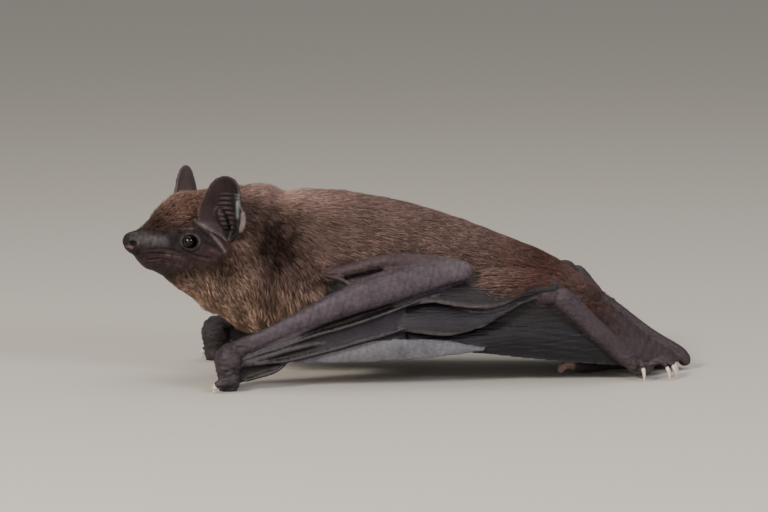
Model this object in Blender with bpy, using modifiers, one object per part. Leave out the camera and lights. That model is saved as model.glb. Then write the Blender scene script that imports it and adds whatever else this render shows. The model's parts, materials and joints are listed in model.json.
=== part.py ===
"""A vesper bat resting on all fours, life size: a still model parted where a person would name its parts.

Metres, +Z up. The bat faces -X and its left side faces -Y. The floor is Z = 0, under the wrists, thumbs,
feet and folded tail. Every size below is in millimetres and is turned to metres by MM. The head, neck and
trunk are one lofted form, parted by thin cuts. Every other piece is trimmed by slightly swollen copies of
the pieces that it meets, so that neighbours keep a gap of GAP between them.
"""

import math
from dataclasses import dataclass

import bmesh
import bpy
from mathutils import Vector

MM = 0.001
GAP = 0.3

# Driving sizes of the animal.
HEAD_YAW = math.radians(22.0)  # the head turns towards the bat's left
NECK_LENGTH = 10.0
EAR_LINE = Vector((-27.65, -1.9, 20.5))  # between the ears, on the middle line of the head
RING_SIDES = 22
RING_SPACING = 2.1
MEMBRANE = 0.6
EYE_RADIUS = 0.95
LEFT, RIGHT = -1.0, 1.0  # the sign of Y on each side of the animal


@dataclass(frozen=True)
class Finish:
    """A plain surface: its linear colour, roughness and metallic value."""

    colour: tuple
    roughness: float
    metallic: float = 0.0


FINISHES = {
    "fur": Finish((0.145, 0.078, 0.055), 0.85),
    "face": Finish((0.045, 0.032, 0.032), 0.55),
    "ear": Finish((0.043, 0.034, 0.034), 0.6),
    "arm": Finish((0.105, 0.078, 0.082), 0.55),
    "membrane": Finish((0.04, 0.036, 0.039), 0.5),
    "foot": Finish((0.068, 0.05, 0.053), 0.6),
    "eye": Finish((0.006, 0.005, 0.005), 0.08),
}


@dataclass(frozen=True)
class Section:
    """An upright cut through head, neck or trunk, out to the tips of the coat.

    along is the distance in front of the ear line, measured on the ground track. waist says how high the
    widest place sits, from 0 at the bottom to 1 at the top.
    """

    along: float
    top: float
    bottom: float
    half_width: float
    waist: float = 0.47


BODY = (
    Section(12.5, 20.2, 19.25, 0.55),
    Section(12.3, 20.65, 18.75, 1.25),
    Section(11.8, 20.95, 18.2, 1.6),
    Section(11.0, 21.15, 17.7, 1.85),
    Section(10.5, 21.3, 16.95, 2.1, 0.5),
    Section(9.4, 21.75, 15.8, 2.6, 0.52),
    Section(8.2, 22.65, 15.3, 3.05, 0.5),
    Section(6.3, 24.5, 14.1, 3.5, 0.48),
    Section(4.4, 25.8, 12.6, 4.25, 0.5),
    Section(2.2, 26.3, 11.0, 5.4, 0.55),
    Section(0.0, 26.6, 9.2, 6.4, 0.58),
    Section(-4.6, 27.1, 6.2, 8.2, 0.52),
    Section(-7.3, 27.2, 5.4, 9.2),
    Section(-10.0, 26.5, 5.1, 9.9),
    Section(-13.0, 26.45, 5.0, 10.5),
    Section(-18.3, 26.0, 4.5, 10.9),
    Section(-26.7, 24.5, 4.0, 10.5),
    Section(-33.8, 22.3, 4.0, 9.8),
    Section(-40.8, 19.5, 4.1, 8.6),
    Section(-46.4, 16.6, 4.8, 7.0),
    Section(-50.6, 14.1, 6.0, 4.9),
    Section(-53.3, 12.0, 7.6, 3.0),
    Section(-54.6, 10.7, 8.9, 1.2),
)

# The parts of the body from nose to rump: each ends where its cutting plane stands, given by the distance
# along the track, the height of the plane's pivot and its lean (the top leans back by this many degrees).
CUTS = (
    ("neck", 0.6, 20.0, 24.0),
    ("chest", -9.5, 16.0, 12.0),
    ("abdomen", -24.0, 14.0, 0.0),
    ("rump", -38.0, 12.0, -8.0),
)
# The lower jaw's outline in the head's side view: distance in front of the ear line, height over it.
MOUTH = (
    (15.0, -2.75),
    (10.7, -2.62),
    (8.4, -2.2),
    (7.0, -2.45),
    (5.9, -2.95),
    (4.7, -3.6),
    (3.4, -12.0),
    (15.0, -12.0),
)


@dataclass(frozen=True)
class Ear:
    """A broad rounded ear: a cupped sheet that opens forward and outward."""

    base: Vector = Vector((0.9, 6.3, -1.3))  # in the head's frame: forward, outward, up
    tip: Vector = Vector((0.2, 7.7, 8.3))
    half_width: float = 3.3
    widest: float = 0.3  # the share of its height at which it is widest
    cup: float = 2.2
    turn: float = math.radians(53.0)  # how far the left opening faces outward from straight ahead
    turn_right: float = math.radians(45.0)  # the right ear is turned a little further forward
    thickness: float = 0.6


@dataclass(frozen=True)
class Arm:
    """Joints of one folded arm, for the left side; the right arm lies a little further forward."""

    shoulder: Vector = Vector((-10.5, 8.2, 15.2))
    elbow: Vector = Vector((8.4, 11.9, 16.9))
    wrist: Vector = Vector((-24.6, 14.4, 5.3))
    reach_right: float = -3.0


@dataclass(frozen=True)
class Finger:
    """A folded metacarpal: where it leaves the wrist, its far end and its bow upward."""

    name: str
    start: Vector
    end: Vector
    bow: float


FINGERS = (
    Finger("finger_2", Vector((-23.2, 14.0, 4.3)), Vector((-1.6, 14.2, 11.2)), -0.5),
    Finger("finger_3", Vector((-23.2, 14.9, 3.75)), Vector((1.4, 13.8, 10.3)), -0.9),
    Finger("finger_4", Vector((-23.2, 14.0, 3.05)), Vector((-3.2, 13.6, 7.4)), 0.0),
    Finger("finger_5", Vector((-23.2, 14.9, 2.5)), Vector((-1.0, 13.4, 6.2)), -0.75),
)


@dataclass(frozen=True)
class Leg:
    """Joints of one hind leg, for the left side; the right knee lies a little further back."""

    hip: Vector = Vector((17.6, 4.0, 10.6))
    knee: Vector = Vector((20.2, 13.0, 12.9))
    ankle: Vector = Vector((30.9, 9.0, 2.3))
    reach_right: float = 1.6


ARM, LEG, EAR = Arm(), Leg(), Ear()


# ---- Places on the animal ----


def ground_track(along):
    """The point on the floor under the middle line, and the heading there (0 faces -X)."""
    start = EAR_LINE.xy.to_3d()
    if along >= 0.0:
        return start + along * heading(HEAD_YAW), HEAD_YAW
    radius = NECK_LENGTH / HEAD_YAW
    yaw = HEAD_YAW * max(0.0, 1.0 + along / NECK_LENGTH)
    bend = Vector((math.sin(HEAD_YAW) - math.sin(yaw), math.cos(yaw) - math.cos(HEAD_YAW), 0.0))
    straight = max(0.0, -along - NECK_LENGTH)
    return start + radius * bend + Vector((straight, 0.0, 0.0)), yaw


def heading(yaw):
    """The level direction that a part of the body faces."""
    return Vector((-math.cos(yaw), -math.sin(yaw), 0.0))


def outward(yaw, side):
    """The level direction out of one side of the body."""
    return Vector((-side * math.sin(yaw), side * math.cos(yaw), 0.0))


def head_point(forward, out, up, side):
    """A place on the head, given from the ear line: forward, out to one side, and up."""
    return EAR_LINE + forward * heading(HEAD_YAW) + out * outward(HEAD_YAW, side) + Vector((0.0, 0.0, up))


def side_name(name, side):
    """The name of the left or right one of a pair."""
    return name + ("_left" if side == LEFT else "_right")


def place(point, side, shift=0.0):
    """A point given for the left side, set on either side of the body."""
    return Vector((point.x + (shift if side == RIGHT else 0.0), side * point.y, point.z))


def blend(rows, position):
    """Catmull-Rom interpolation of rows of numbers at a fractional index."""
    i = min(int(position), len(rows) - 2)
    t = position - i
    a, b, c, d = (rows[min(max(k, 0), len(rows) - 1)] for k in (i - 1, i, i + 1, i + 2))
    return [
        0.5 * (2 * q + (r - p) * t + (2 * p - 5 * q + 4 * r - s) * t * t + (3 * q - p - 3 * r + s) * t**3)
        for p, q, r, s in zip(a, b, c, d)
    ]


def route(points, count):
    """count points, evenly spread over the index, on a smooth curve through the given points."""
    rows = [tuple(point) for point in points]
    return [Vector(blend(rows, k * (len(rows) - 1) / (count - 1))) for k in range(count)]


def smooth(t):
    """A soft step from 0 to 1."""
    t = min(1.0, max(0.0, t))
    return t * t * (3.0 - 2.0 * t)


# ---- Meshes and objects ----


def clear_scene():
    """Removes whatever the scene holds."""
    for obj in list(bpy.data.objects):
        bpy.data.objects.remove(obj, do_unlink=True)


def new_collection(name):
    """A new collection in the scene."""
    collection = bpy.data.collections.new(name)
    bpy.context.scene.collection.children.link(collection)
    return collection


def material(name):
    """The material of a finish, made once."""
    found = bpy.data.materials.get(name)
    if found:
        return found
    finish = FINISHES[name]
    found = bpy.data.materials.new(name)
    found.use_nodes = True
    shader = found.node_tree.nodes["Principled BSDF"]
    shader.inputs["Base Color"].default_value = (*finish.colour, 1.0)
    shader.inputs["Roughness"].default_value = finish.roughness
    shader.inputs["Metallic"].default_value = finish.metallic
    return found


def add_object(name, mesh, finish, collection):
    """An object of a mesh, with its finish where it has one."""
    obj = bpy.data.objects.new(name, mesh)
    if finish:
        mesh.materials.clear()
        mesh.materials.append(material(finish))
    collection.objects.link(obj)
    return obj


def mesh_of(bm, name):
    """Turns a closed form into a mesh whose faces point out."""
    bmesh.ops.recalc_face_normals(bm, faces=bm.faces)
    mesh = bpy.data.meshes.new(name)
    bm.to_mesh(mesh)
    bm.free()
    return mesh


def body_mesh(grow):
    """The loft of head, neck and trunk, with every section grown by some millimetres."""
    rows = [(s.along, s.top, s.bottom, s.half_width, s.waist) for s in BODY]
    positions = [0.0]
    for i in range(len(rows) - 1):
        steps = max(1, round(abs(rows[i + 1][0] - rows[i][0]) / RING_SPACING))
        positions += [i + (k + 1) / steps for k in range(steps)]
    bm = bmesh.new()
    rings = []
    for n, position in enumerate(positions):
        along, top, bottom, half_width, waist = blend(rows, position)
        along += grow if n == 0 else -grow if n == len(positions) - 1 else 0.0
        foot, yaw = ground_track(along)
        middle = bottom + waist * (top - bottom)
        ring = []
        for k in range(RING_SIDES):
            angle = math.tau * k / RING_SIDES
            reach = (top - middle if math.sin(angle) > 0 else middle - bottom) + grow
            point = foot + (half_width + grow) * math.cos(angle) * outward(yaw, LEFT)
            point.z = middle + reach * math.sin(angle)
            ring.append(bm.verts.new(point * MM))
        rings.append(ring)
    for ring, after in zip(rings, rings[1:]):
        for k in range(RING_SIDES):
            n = (k + 1) % RING_SIDES
            bm.faces.new((ring[k], ring[n], after[n], after[k]))
    bm.faces.new(rings[0])
    bm.faces.new(rings[-1])
    return mesh_of(bm, "body_form")


def tube_mesh(points, radii, level=2):
    """A round-ended tube through points, its radius given at each of a few even places along it."""
    rows = [(radius,) for radius in radii]
    lengths = [0.0]
    for a, b in zip(points, points[1:]):
        lengths.append(lengths[-1] + (b - a).length)
    total = lengths[-1]

    def radius_at(distance):
        return blend(rows, (len(rows) - 1) * distance / total)[0]

    def point_at(distance):
        k = next((i for i in range(1, len(lengths)) if lengths[i] >= distance - 1e-9), len(lengths) - 1)
        return points[k - 1].lerp(points[k], (distance - lengths[k - 1]) / (lengths[k] - lengths[k - 1]))

    first, last = radius_at(0.0), radius_at(total)
    stops = []
    for degrees in (12, 45):
        turn = math.radians(degrees)
        stops.append((first * (1 - math.cos(turn)), math.sin(turn)))
        stops.append((total - last * (1 - math.cos(turn)), math.sin(turn)))
    stops += [(length, 1.0) for length in lengths if first < length < total - last]
    curve = bpy.data.curves.new("tube", "CURVE")
    curve.dimensions = "3D"
    curve.bevel_depth = MM
    curve.bevel_resolution = level
    curve.use_fill_caps = True
    spline = curve.splines.new("POLY")
    stops.sort()
    spline.points.add(len(stops) - 1)
    for target, (distance, share) in zip(spline.points, stops):
        target.co = (*(point_at(distance) * MM), 1.0)
        target.radius = radius_at(distance) * share
    helper = bpy.data.objects.new("tube", curve)
    bpy.context.scene.collection.objects.link(helper)
    graph = bpy.context.evaluated_depsgraph_get()
    mesh = bpy.data.meshes.new_from_object(helper.evaluated_get(graph))
    bpy.data.objects.remove(helper)
    bpy.data.curves.remove(curve)
    bm = bmesh.new()
    bm.from_mesh(mesh)
    bpy.data.meshes.remove(mesh)
    bmesh.ops.remove_doubles(bm, verts=bm.verts, dist=1e-6)
    return mesh_of(bm, "tube")


def sheet_mesh(surface, across, down):
    """An open grid whose points are surface(s, t), with s and t from 0 to 1."""
    bm = bmesh.new()
    bmesh.ops.create_grid(bm, x_segments=across, y_segments=down, size=0.5)
    for vertex in bm.verts:
        vertex.co = surface(vertex.co.x + 0.5, vertex.co.y + 0.5) * MM
    mesh = bpy.data.meshes.new("sheet")
    bm.to_mesh(mesh)
    bm.free()
    return mesh


class Builder:
    """Makes the bat's objects, and the hidden cutters that keep them apart."""

    def __init__(self):
        self.parts = new_collection("bat")
        self.cutters = new_collection("cutters")
        self.body_cutter = self.add_cutter("body_space", body_mesh(GAP))

    def add_cutter(self, name, mesh):
        """A form that only cuts others and isn't part of the animal."""
        cutter = add_object(name, mesh, None, self.cutters)
        cutter.hide_render = True
        cutter.display_type = "WIRE"
        return cutter

    def swollen(self, obj, by=GAP):
        """A cutter that stands off a finished piece by the gap."""
        cutter = self.add_cutter(obj.name + "_space", obj.data.copy())
        swell = cutter.modifiers.new("swell", "DISPLACE")
        swell.mid_level = 0.0
        swell.strength = by * MM
        return cutter

    def bake(self, obj):
        """Replaces the mesh by its evaluated form and keeps its largest body."""
        graph = bpy.context.evaluated_depsgraph_get()
        mesh = bpy.data.meshes.new_from_object(obj.evaluated_get(graph))
        obj.modifiers.clear()
        bm = bmesh.new()
        bm.from_mesh(mesh)
        bmesh.ops.remove_doubles(bm, verts=bm.verts, dist=2e-6)
        bmesh.ops.dissolve_degenerate(bm, edges=bm.edges, dist=2e-6)
        keep_largest_body(bm)
        bmesh.ops.recalc_face_normals(bm, faces=bm.faces)
        bm.to_mesh(mesh)
        bm.free()
        obj.data = mesh
        mesh.name = obj.name
        mesh.shade_smooth()
        mesh.set_sharp_from_angle(angle=math.radians(40.0))
        return obj

    def boolean(self, obj, other, operation, solver="EXACT"):
        """Adds a boolean modifier to a piece."""
        modifier = obj.modifiers.new(other.name, "BOOLEAN")
        modifier.operation = operation
        modifier.solver = solver
        modifier.object = other

    def add(self, name, mesh, finish, spaces=(), thickness=0.0, stands=False):
        """A finished piece: thickened if it is a sheet, levelled on the floor, and trimmed by spaces.

        A thick sheet with tight folds can touch itself, which the exact solver answers with an empty mesh,
        so sheets are trimmed by the manifold solver.
        """
        obj = add_object(name, mesh, finish, self.parts)
        if thickness:
            shell = obj.modifiers.new("thickness", "SOLIDIFY")
            shell.thickness = thickness * MM
            shell.offset = 0.0
            self.bake(obj)
        for space in spaces:
            self.boolean(obj, space, "DIFFERENCE", "MANIFOLD" if thickness else "EXACT")
        self.bake(obj)
        if stands:
            level_on_floor(obj)
        return obj


def keep_largest_body(bm):
    """Deletes every loose shell but the largest."""
    left = set(bm.verts)
    shells = []
    while left:
        stack = [left.pop()]
        shell = set(stack)
        while stack:
            for edge in stack.pop().link_edges:
                for vertex in edge.verts:
                    if vertex in left:
                        left.discard(vertex)
                        shell.add(vertex)
                        stack.append(vertex)
        shells.append(shell)
    shells.sort(key=len)
    spare = [vertex for shell in shells[:-1] for vertex in shell]
    bmesh.ops.delete(bm, geom=spare, context="VERTS")


def level_on_floor(obj):
    """Cuts off what reaches under the floor, which leaves a small flat."""
    bm = bmesh.new()
    bm.from_mesh(obj.data)
    half_space(bm, Vector((0.0, 0.0, 0.0)), Vector((0.0, 0.0, -1.0)))
    bm.to_mesh(obj.data)
    bm.free()


def half_space(bm, point, normal):
    """Keeps what lies behind a plane and closes the cut."""
    geometry = bm.verts[:] + bm.edges[:] + bm.faces[:]
    bmesh.ops.bisect_plane(bm, geom=geometry, dist=1e-7, plane_co=point, plane_no=normal, clear_outer=True)
    rim = [edge for edge in bm.edges if edge.is_boundary]
    if rim:
        bmesh.ops.holes_fill(bm, edges=rim, sides=0)


# ---- Head, neck and trunk ----


def cut_plane(along, height, lean):
    """A point and the forward normal of one of the body's cutting planes."""
    foot, yaw = ground_track(along)
    foot.z = height
    forward = heading(yaw)
    lean = math.radians(lean)
    return foot, forward * math.cos(lean) + Vector((0.0, 0.0, math.sin(lean)))


def build_body(builder, eyes):
    """The head with its jaw, the neck and the three lengths of the trunk."""
    whole = body_mesh(0.0)
    ears = [ear_space(builder, side) for side in (LEFT, RIGHT)]
    planes = [cut_plane(*cut[1:]) for cut in CUTS]
    names = ["head"] + [cut[0] for cut in CUTS]
    pieces = {}
    for i, name in enumerate(names):
        bm = bmesh.new()
        bm.from_mesh(whole)
        if i < len(planes):  # the rear face
            point, normal = planes[i]
            half_space(bm, (point + normal * GAP / 2) * MM, -normal)
        if i > 0:  # the front face
            point, normal = planes[i - 1]
            half_space(bm, (point - normal * GAP / 2) * MM, normal)
        pieces[name] = mesh_of(bm, name)
    bpy.data.meshes.remove(whole)
    jaw_block = builder.add_cutter("jaw_block", jaw_mesh(0.0))
    jaw_space = builder.add_cutter("jaw_space", jaw_mesh(GAP))
    jaw = add_object("lower_jaw", pieces["head"].copy(), "face", builder.parts)
    builder.boolean(jaw, jaw_block, "INTERSECT")
    builder.bake(jaw)
    builder.add("head", pieces["head"], "face", [jaw_space] + ears + [builder.swollen(eye) for eye in eyes])
    builder.add("neck", pieces["neck"], "fur", ears)
    for name in names[2:]:
        builder.add(name, pieces[name], "fur")


def jaw_mesh(grow):
    """A block with the mouth line as its upper edge, standing across the whole head."""
    lowest = min(w for u, w in MOUTH)
    corner = min(u for u, w in MOUTH) + 2.0  # behind this, the outline's edge faces back
    outline = [(u - (grow if u < corner else 0.0), w + (grow if w > lowest else 0.0)) for u, w in MOUTH]
    bm = bmesh.new()
    near = [bm.verts.new(head_point(u, 12.0, w, LEFT) * MM) for u, w in outline]
    face = bm.faces.new(near)
    across = (head_point(0.0, 12.0, 0.0, RIGHT) - head_point(0.0, 12.0, 0.0, LEFT)) * MM
    made = bmesh.ops.extrude_face_region(bm, geom=[face])
    bmesh.ops.translate(bm, vec=across, verts=[v for v in made["geom"] if isinstance(v, bmesh.types.BMVert)])
    return mesh_of(bm, "jaw_block")


def build_eye(builder, side):
    """An eyeball, set into the side of the head."""
    bm = bmesh.new()
    bmesh.ops.create_uvsphere(bm, u_segments=10, v_segments=6, radius=EYE_RADIUS * MM)
    bmesh.ops.translate(bm, vec=head_point(4.3, 3.6, -0.8, side) * MM, verts=bm.verts)
    return builder.add(side_name("eye", side), mesh_of(bm, "eye"), "eye")


def ear_surface(side, push=0.0):
    """The cupped sheet of one ear, s from its front margin to its rear margin and t from base to tip."""
    turn = EAR.turn_right if side == RIGHT else EAR.turn
    across = Vector((-math.sin(turn), math.cos(turn), 0.0))
    facing = Vector((math.cos(turn), math.sin(turn), 0.0))

    def surface(s, t):
        b = 2.0 * s - 1.0
        rise = 0.5 - 0.5 * math.cos(math.pi * (0.06 + 0.94 * t))
        span = 1.0 - EAR.widest if rise > EAR.widest else EAR.widest + 0.1
        half = EAR.half_width * math.sqrt(max(0.0, 1.0 - ((rise - EAR.widest) / span) ** 2))
        cup = EAR.cup * (1.0 - 0.5 * rise) * (1.0 - b * b) * smooth(rise / 0.3) * (1.0 - rise**5)
        lobe = 0.55 * smooth((b - 0.3) / 0.7) * smooth((0.5 - rise) / 0.3)
        point = EAR.base.lerp(EAR.tip, rise) + across * (half * b + lobe) - facing * (cup - 0.8 - push)
        return head_point(point.x, point.y, point.z, side)

    return surface


def ear_space(builder, side):
    """The room that an ear and its opening take out of the head and neck."""
    bm = bmesh.new()
    bm.from_mesh(sheet_mesh(ear_surface(side, -EAR.thickness / 2 - GAP), 7, 7))
    turn = EAR.turn_right if side == RIGHT else EAR.turn
    ahead = head_point(math.cos(turn), math.sin(turn), 0.0, side) - EAR_LINE
    made = bmesh.ops.extrude_face_region(bm, geom=bm.faces[:])
    moved = [item for item in made["geom"] if isinstance(item, bmesh.types.BMVert)]
    bmesh.ops.translate(bm, vec=ahead * 5.0 * MM, verts=moved)
    return builder.add_cutter(side_name("ear_space", side), mesh_of(bm, "ear_space"))


def build_ear(builder, side):
    """One ear, thick enough to be a solid."""
    mesh = sheet_mesh(ear_surface(side), 7, 7)
    return builder.add(side_name("ear", side), mesh, "ear", thickness=EAR.thickness)


# ---- Arms ----


def build_arm(builder, side):
    """Builds one arm and returns the spaces that its pieces take."""
    shift = ARM.reach_right
    shoulder = place(ARM.shoulder, side)
    elbow, wrist = place(ARM.elbow, side, shift), place(ARM.wrist, side, shift)

    def piece(name, points, radii, finish, spaces=(), stands=False, level=2):
        mesh = tube_mesh(points, radii, level)
        return builder.swollen(builder.add(side_name(name, side), mesh, finish, spaces, stands=stands))

    bow = shoulder.lerp(elbow, 0.5) + Vector((0.0, side * 0.9, 0.9))
    axis = route((shoulder, bow, elbow), 7)
    upper = piece("upper_arm", axis, (2.6, 1.9, 1.75), "arm", [builder.body_cutter])
    bow = elbow.lerp(wrist, 0.5) + Vector((0.0, side * 0.5, 0.3))
    axis = route((elbow + Vector((0.6, 0.0, -0.5)), bow, wrist), 8)
    fore = piece("forearm", axis, (2.0, 2.35, 2.0, 1.45, 1.25), "arm", [builder.body_cutter, upper])
    drops = ((0.3, 0.0, 0.9), (-0.1, 0.1, -1.0), (-0.4, 0.15, -3.2), (-0.2, 0.3, -6.1))
    knob = [wrist + Vector((x, side * y, z)) for x, y, z in drops]
    hand = piece("wrist", route(knob, 9), (1.7, 2.15, 2.2, 1.9), "arm", [fore], stands=True)
    hooks = ((1.6, 2.2, -3.4), (-0.2, 2.7, -3.7), (-1.4, 2.9, -4.0), (-2.1, 3.0, -4.5), (-2.3, 3.0, -5.7))
    thumb = [wrist + Vector((x, side * y, z)) for x, y, z in hooks]
    first = piece("thumb", route(thumb, 8), (0.85, 0.85, 0.62, 0.38, 0.28), "arm", [hand], stands=True)
    spaces = [hand, fore, first]
    for finger in FINGERS:
        start, end = place(finger.start, side, shift), place(finger.end, side, shift)
        middle = start.lerp(end, 0.5) + Vector((0.0, 0.0, finger.bow))
        axis = route((start, middle, end), 7)
        spaces.append(piece(finger.name, axis, (0.48, 0.42, 0.42), "arm", spaces, level=1))
    return [upper] + spaces


def shoulder_membrane(side):
    """The small web in the bend of the elbow: s from the elbow forward, t from upper arm to forearm."""
    shift = ARM.reach_right
    elbow, wrist = place(ARM.elbow, side, shift), place(ARM.wrist, side, shift)
    shoulder = place(ARM.shoulder, side)

    def surface(s, t):
        upper = elbow.lerp(shoulder, 0.1 + 0.8 * s)
        lower = elbow.lerp(wrist, 0.08 + 0.42 * s)
        point = upper.lerp(lower, 0.1 + 0.8 * t)
        point.y = side * (12.1 + 0.5 * s * math.sin(math.pi * t))
        return point

    return surface


def hand_membrane(side):
    """The folded web behind the fingers, tapering back to the light finger tips."""
    shift = ARM.reach_right
    front, rear = -21.6, 10.6

    def surface(s, t):
        x = front + (rear - front) * s
        top = 4.9 + 7.6 * smooth(s / 0.62) * (1.0 - smooth((s - 0.55) / 0.22)) + 0.7 * smooth((s - 0.5) / 0.3)
        low = 2.3 + 1.5 * smooth(s / 0.6) + 0.5 * smooth((s - 0.6) / 0.4)
        z = low + (top - low) * t * (1.0 - 0.55 * smooth((s - 0.75) / 0.25)) - 0.25 * math.sin(math.pi * s)
        pleat = 0.3 * math.sin(math.tau * 2.5 * t) * math.sin(math.pi * min(1.0, 1.4 * s))
        y = 13.05 - 0.45 * s + pleat
        return place(Vector((x, y, z)), side, shift)

    return surface


def arm_membrane(side):
    """The folded web from the elbow and trunk back to the shin, in hanging folds."""

    def surface(s, t):
        x = -2.5 + 32.3 * s
        if side == RIGHT:
            x += ARM.reach_right * (1.0 - s) + LEG.reach_right * s
        top = 9.4 + 5.0 * smooth(s / 0.36) - 1.2 * smooth((s - 0.4) / 0.25) - 10.4 * smooth((s - 0.62) / 0.5)
        low = 5.1 - 0.9 * smooth(s / 0.4) - 2.6 * smooth((s - 0.35) / 0.65)
        hang = min(1.0, t / 0.85)
        z = low + (top - low) * hang
        y = 11.75 + 0.6 * smooth(s / 0.6) * hang - 1.1 * (1.0 - hang) ** 2 - 2.3 * smooth((s - 0.72) / 0.28)
        fan = math.sin(math.pi * min(1.0, 1.25 * s + 0.05)) ** 0.8
        y += 0.38 * fan * math.sin(math.tau * 2.0 * (hang + 0.12) ** 1.3)
        to_flank = smooth((t - 0.85) / 0.15) * (1.0 - smooth((s - 0.55) / 0.15))
        return Vector((x, side * (y + (8.5 - y) * to_flank), z))

    return surface


def build_membranes(builder, side, arm, leg):
    """The three webs of one wing, each trimmed by what it meets."""
    spaces = [builder.body_cutter] + arm
    mesh = sheet_mesh(shoulder_membrane(side), 6, 4)
    builder.add(side_name("shoulder_membrane", side), mesh, "membrane", spaces, MEMBRANE)
    mesh = sheet_mesh(hand_membrane(side), 10, 5)
    hand = builder.add(side_name("hand_membrane", side), mesh, "membrane", spaces, MEMBRANE)
    spaces += [builder.swollen(hand)] + leg
    mesh = sheet_mesh(arm_membrane(side), 10, 9)
    builder.add(side_name("arm_membrane", side), mesh, "membrane", spaces, MEMBRANE)


# ---- Hind legs and tail ----

TOES = 5


def build_leg(builder, side):
    """Builds one hind leg and returns the spaces that its pieces take."""
    shift = LEG.reach_right
    hip, knee, ankle = (place(point, side, shift) for point in (LEG.hip, LEG.knee, LEG.ankle))
    foot = build_foot(builder, side, ankle)
    spaces = [builder.swollen(foot)]
    points = route((knee, knee.lerp(ankle, 0.45) + Vector((0.5, 0.0, 0.7)), ankle), 8)
    shin = builder.add(side_name("shin", side), tube_mesh(points, (1.4, 1.35, 1.0, 0.85)), "foot", spaces)
    spaces.append(builder.swollen(shin))
    points = route((hip, hip.lerp(knee, 0.5) + Vector((0.0, 0.0, 0.2)), knee), 6)
    space = [builder.body_cutter, spaces[-1]]
    thigh = builder.add(side_name("thigh", side), tube_mesh(points, (3.3, 3.1, 1.9)), "fur", space)
    return spaces + [builder.swollen(thigh)]


def build_foot(builder, side, ankle):
    """A flat sole with five fanned toes, each ending in a hooked claw, all one piece."""
    sole = [ankle + Vector(step) for step in ((0.6, 0.0, -0.5), (2.0, 0.0, -1.0), (3.6, 0.0, -1.4))]
    mesh = tube_mesh(route(sole, 5), (1.2, 1.5, 1.3))
    foot = add_object(side_name("foot", side), mesh, "foot", builder.parts)
    for toe in range(TOES):
        spread = toe - (TOES - 1) / 2  # the outermost toe, on the bat's side, comes first
        base = ankle + Vector((2.2 + 0.3 * toe, -side * 0.5 * spread, -0.9))
        long = 3.6 if toe == 0 else 4.6 - 0.15 * abs(spread)
        angle = -side * math.radians(11.0 if toe else 20.0) * spread
        ahead = Vector((math.cos(angle), math.sin(angle), 0.0))
        line = [base, base + ahead * 0.45 * long, base + ahead * 0.78 * long, base + ahead * long]
        line[1].z, line[2].z, line[3].z = 1.75, 1.2, -0.25
        mesh = tube_mesh(route(line, 5), (0.6, 0.52, 0.45, 0.34, 0.2), 1)
        toe_form = builder.add_cutter(f"{foot.name}_toe_{toe}", mesh)
        builder.boolean(foot, toe_form, "UNION", "MANIFOLD")  # the exact solver loses the sole here
    builder.bake(foot)
    level_on_floor(foot)
    return foot


TAIL_ROUTE = (
    Vector((24.0, 0.0, 13.2)),
    Vector((28.5, 0.0, 9.7)),
    Vector((34.0, 0.0, 5.3)),
    Vector((38.1, 0.0, 2.7)),
    Vector((38.8, 0.0, 1.0)),
)
TAIL_TIP_ROUTE = (Vector((37.4, 0.0, 0.75)), Vector((30.0, 0.0, 0.7)), Vector((20.8, 0.0, 0.35)))


def build_tail(builder):
    """The tail, which runs down the middle of its web, and its tip, turned under and forward on the floor."""
    mesh = tube_mesh(route(TAIL_ROUTE, 11), (1.0, 0.9, 0.85, 0.85, 1.0), 1)
    tail = builder.add("tail", mesh, "membrane", [builder.body_cutter], stands=True)
    mesh = tube_mesh(route(TAIL_TIP_ROUTE, 7), (0.85, 0.65, 0.5), 1)
    tip = builder.add("tail_tip", mesh, "membrane", [builder.swollen(tail)], stands=True)
    return [builder.swollen(tail), builder.swollen(tip)]


def tail_membrane(s, t):
    """The web between the legs: s from the rump to its hem, t from the left shin to the right."""
    b = 2.0 * t - 1.0
    side = LEFT if b < 0 else RIGHT
    knee, ankle = place(LEG.knee, side, LEG.reach_right), place(LEG.ankle, side, LEG.reach_right)
    edge = knee.lerp(ankle, 0.04 + 0.93 * s)
    edge.y -= side * 1.1
    middle = Vector((23.6, 0.0, 11.6)).lerp(Vector((37.3, 0.0, 1.75)), s)
    point = middle.lerp(edge, abs(b) ** 1.15)
    sag = math.sin(math.pi * abs(b)) * math.sin(math.pi * min(1.0, 0.25 + 0.6 * s))
    point.z = max(point.z - 1.5 * sag, 1.75)
    point.x += 1.6 * math.sin(math.pi * abs(b)) * s * s
    return point


def build_tail_membrane(builder, tail, legs):
    """The web between the hind legs, trimmed by them and by the tail in it."""
    spaces = [builder.body_cutter] + tail + [space for leg in legs for space in leg]
    builder.add("tail_membrane", sheet_mesh(tail_membrane, 6, 10), "membrane", spaces, MEMBRANE)


def main():
    """Builds the whole bat."""
    clear_scene()
    builder = Builder()
    eyes = [build_eye(builder, side) for side in (LEFT, RIGHT)]
    build_body(builder, eyes)
    legs = []
    for side in (LEFT, RIGHT):
        build_ear(builder, side)
        arm = build_arm(builder, side)
        leg = build_leg(builder, side)
        legs.append(leg)
        build_membranes(builder, side, arm, leg)
    tail = build_tail(builder)
    build_tail_membrane(builder, tail, legs)


main()
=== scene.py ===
"""A small vesper bat on all fours: skin, coat, eyes and claws set over the packed frame.

Sizes are in millimetres in the frame's own axes: the bat faces -X, its left side faces -Y, and the floor is
Z = 0. Meshes are made in millimetres and turned to metres when they become objects. One skin stands for all
the nodes of flesh and lies inside them by the depth of the coat; the coat is solid tufts rooted in it.
"""

import json
import logging
import math
from dataclasses import dataclass
from enum import Enum

import bmesh
import bpy
import numpy as np
from mathutils import Matrix, Vector
from mathutils.bvhtree import BVHTree
from mathutils.kdtree import KDTree

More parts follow.
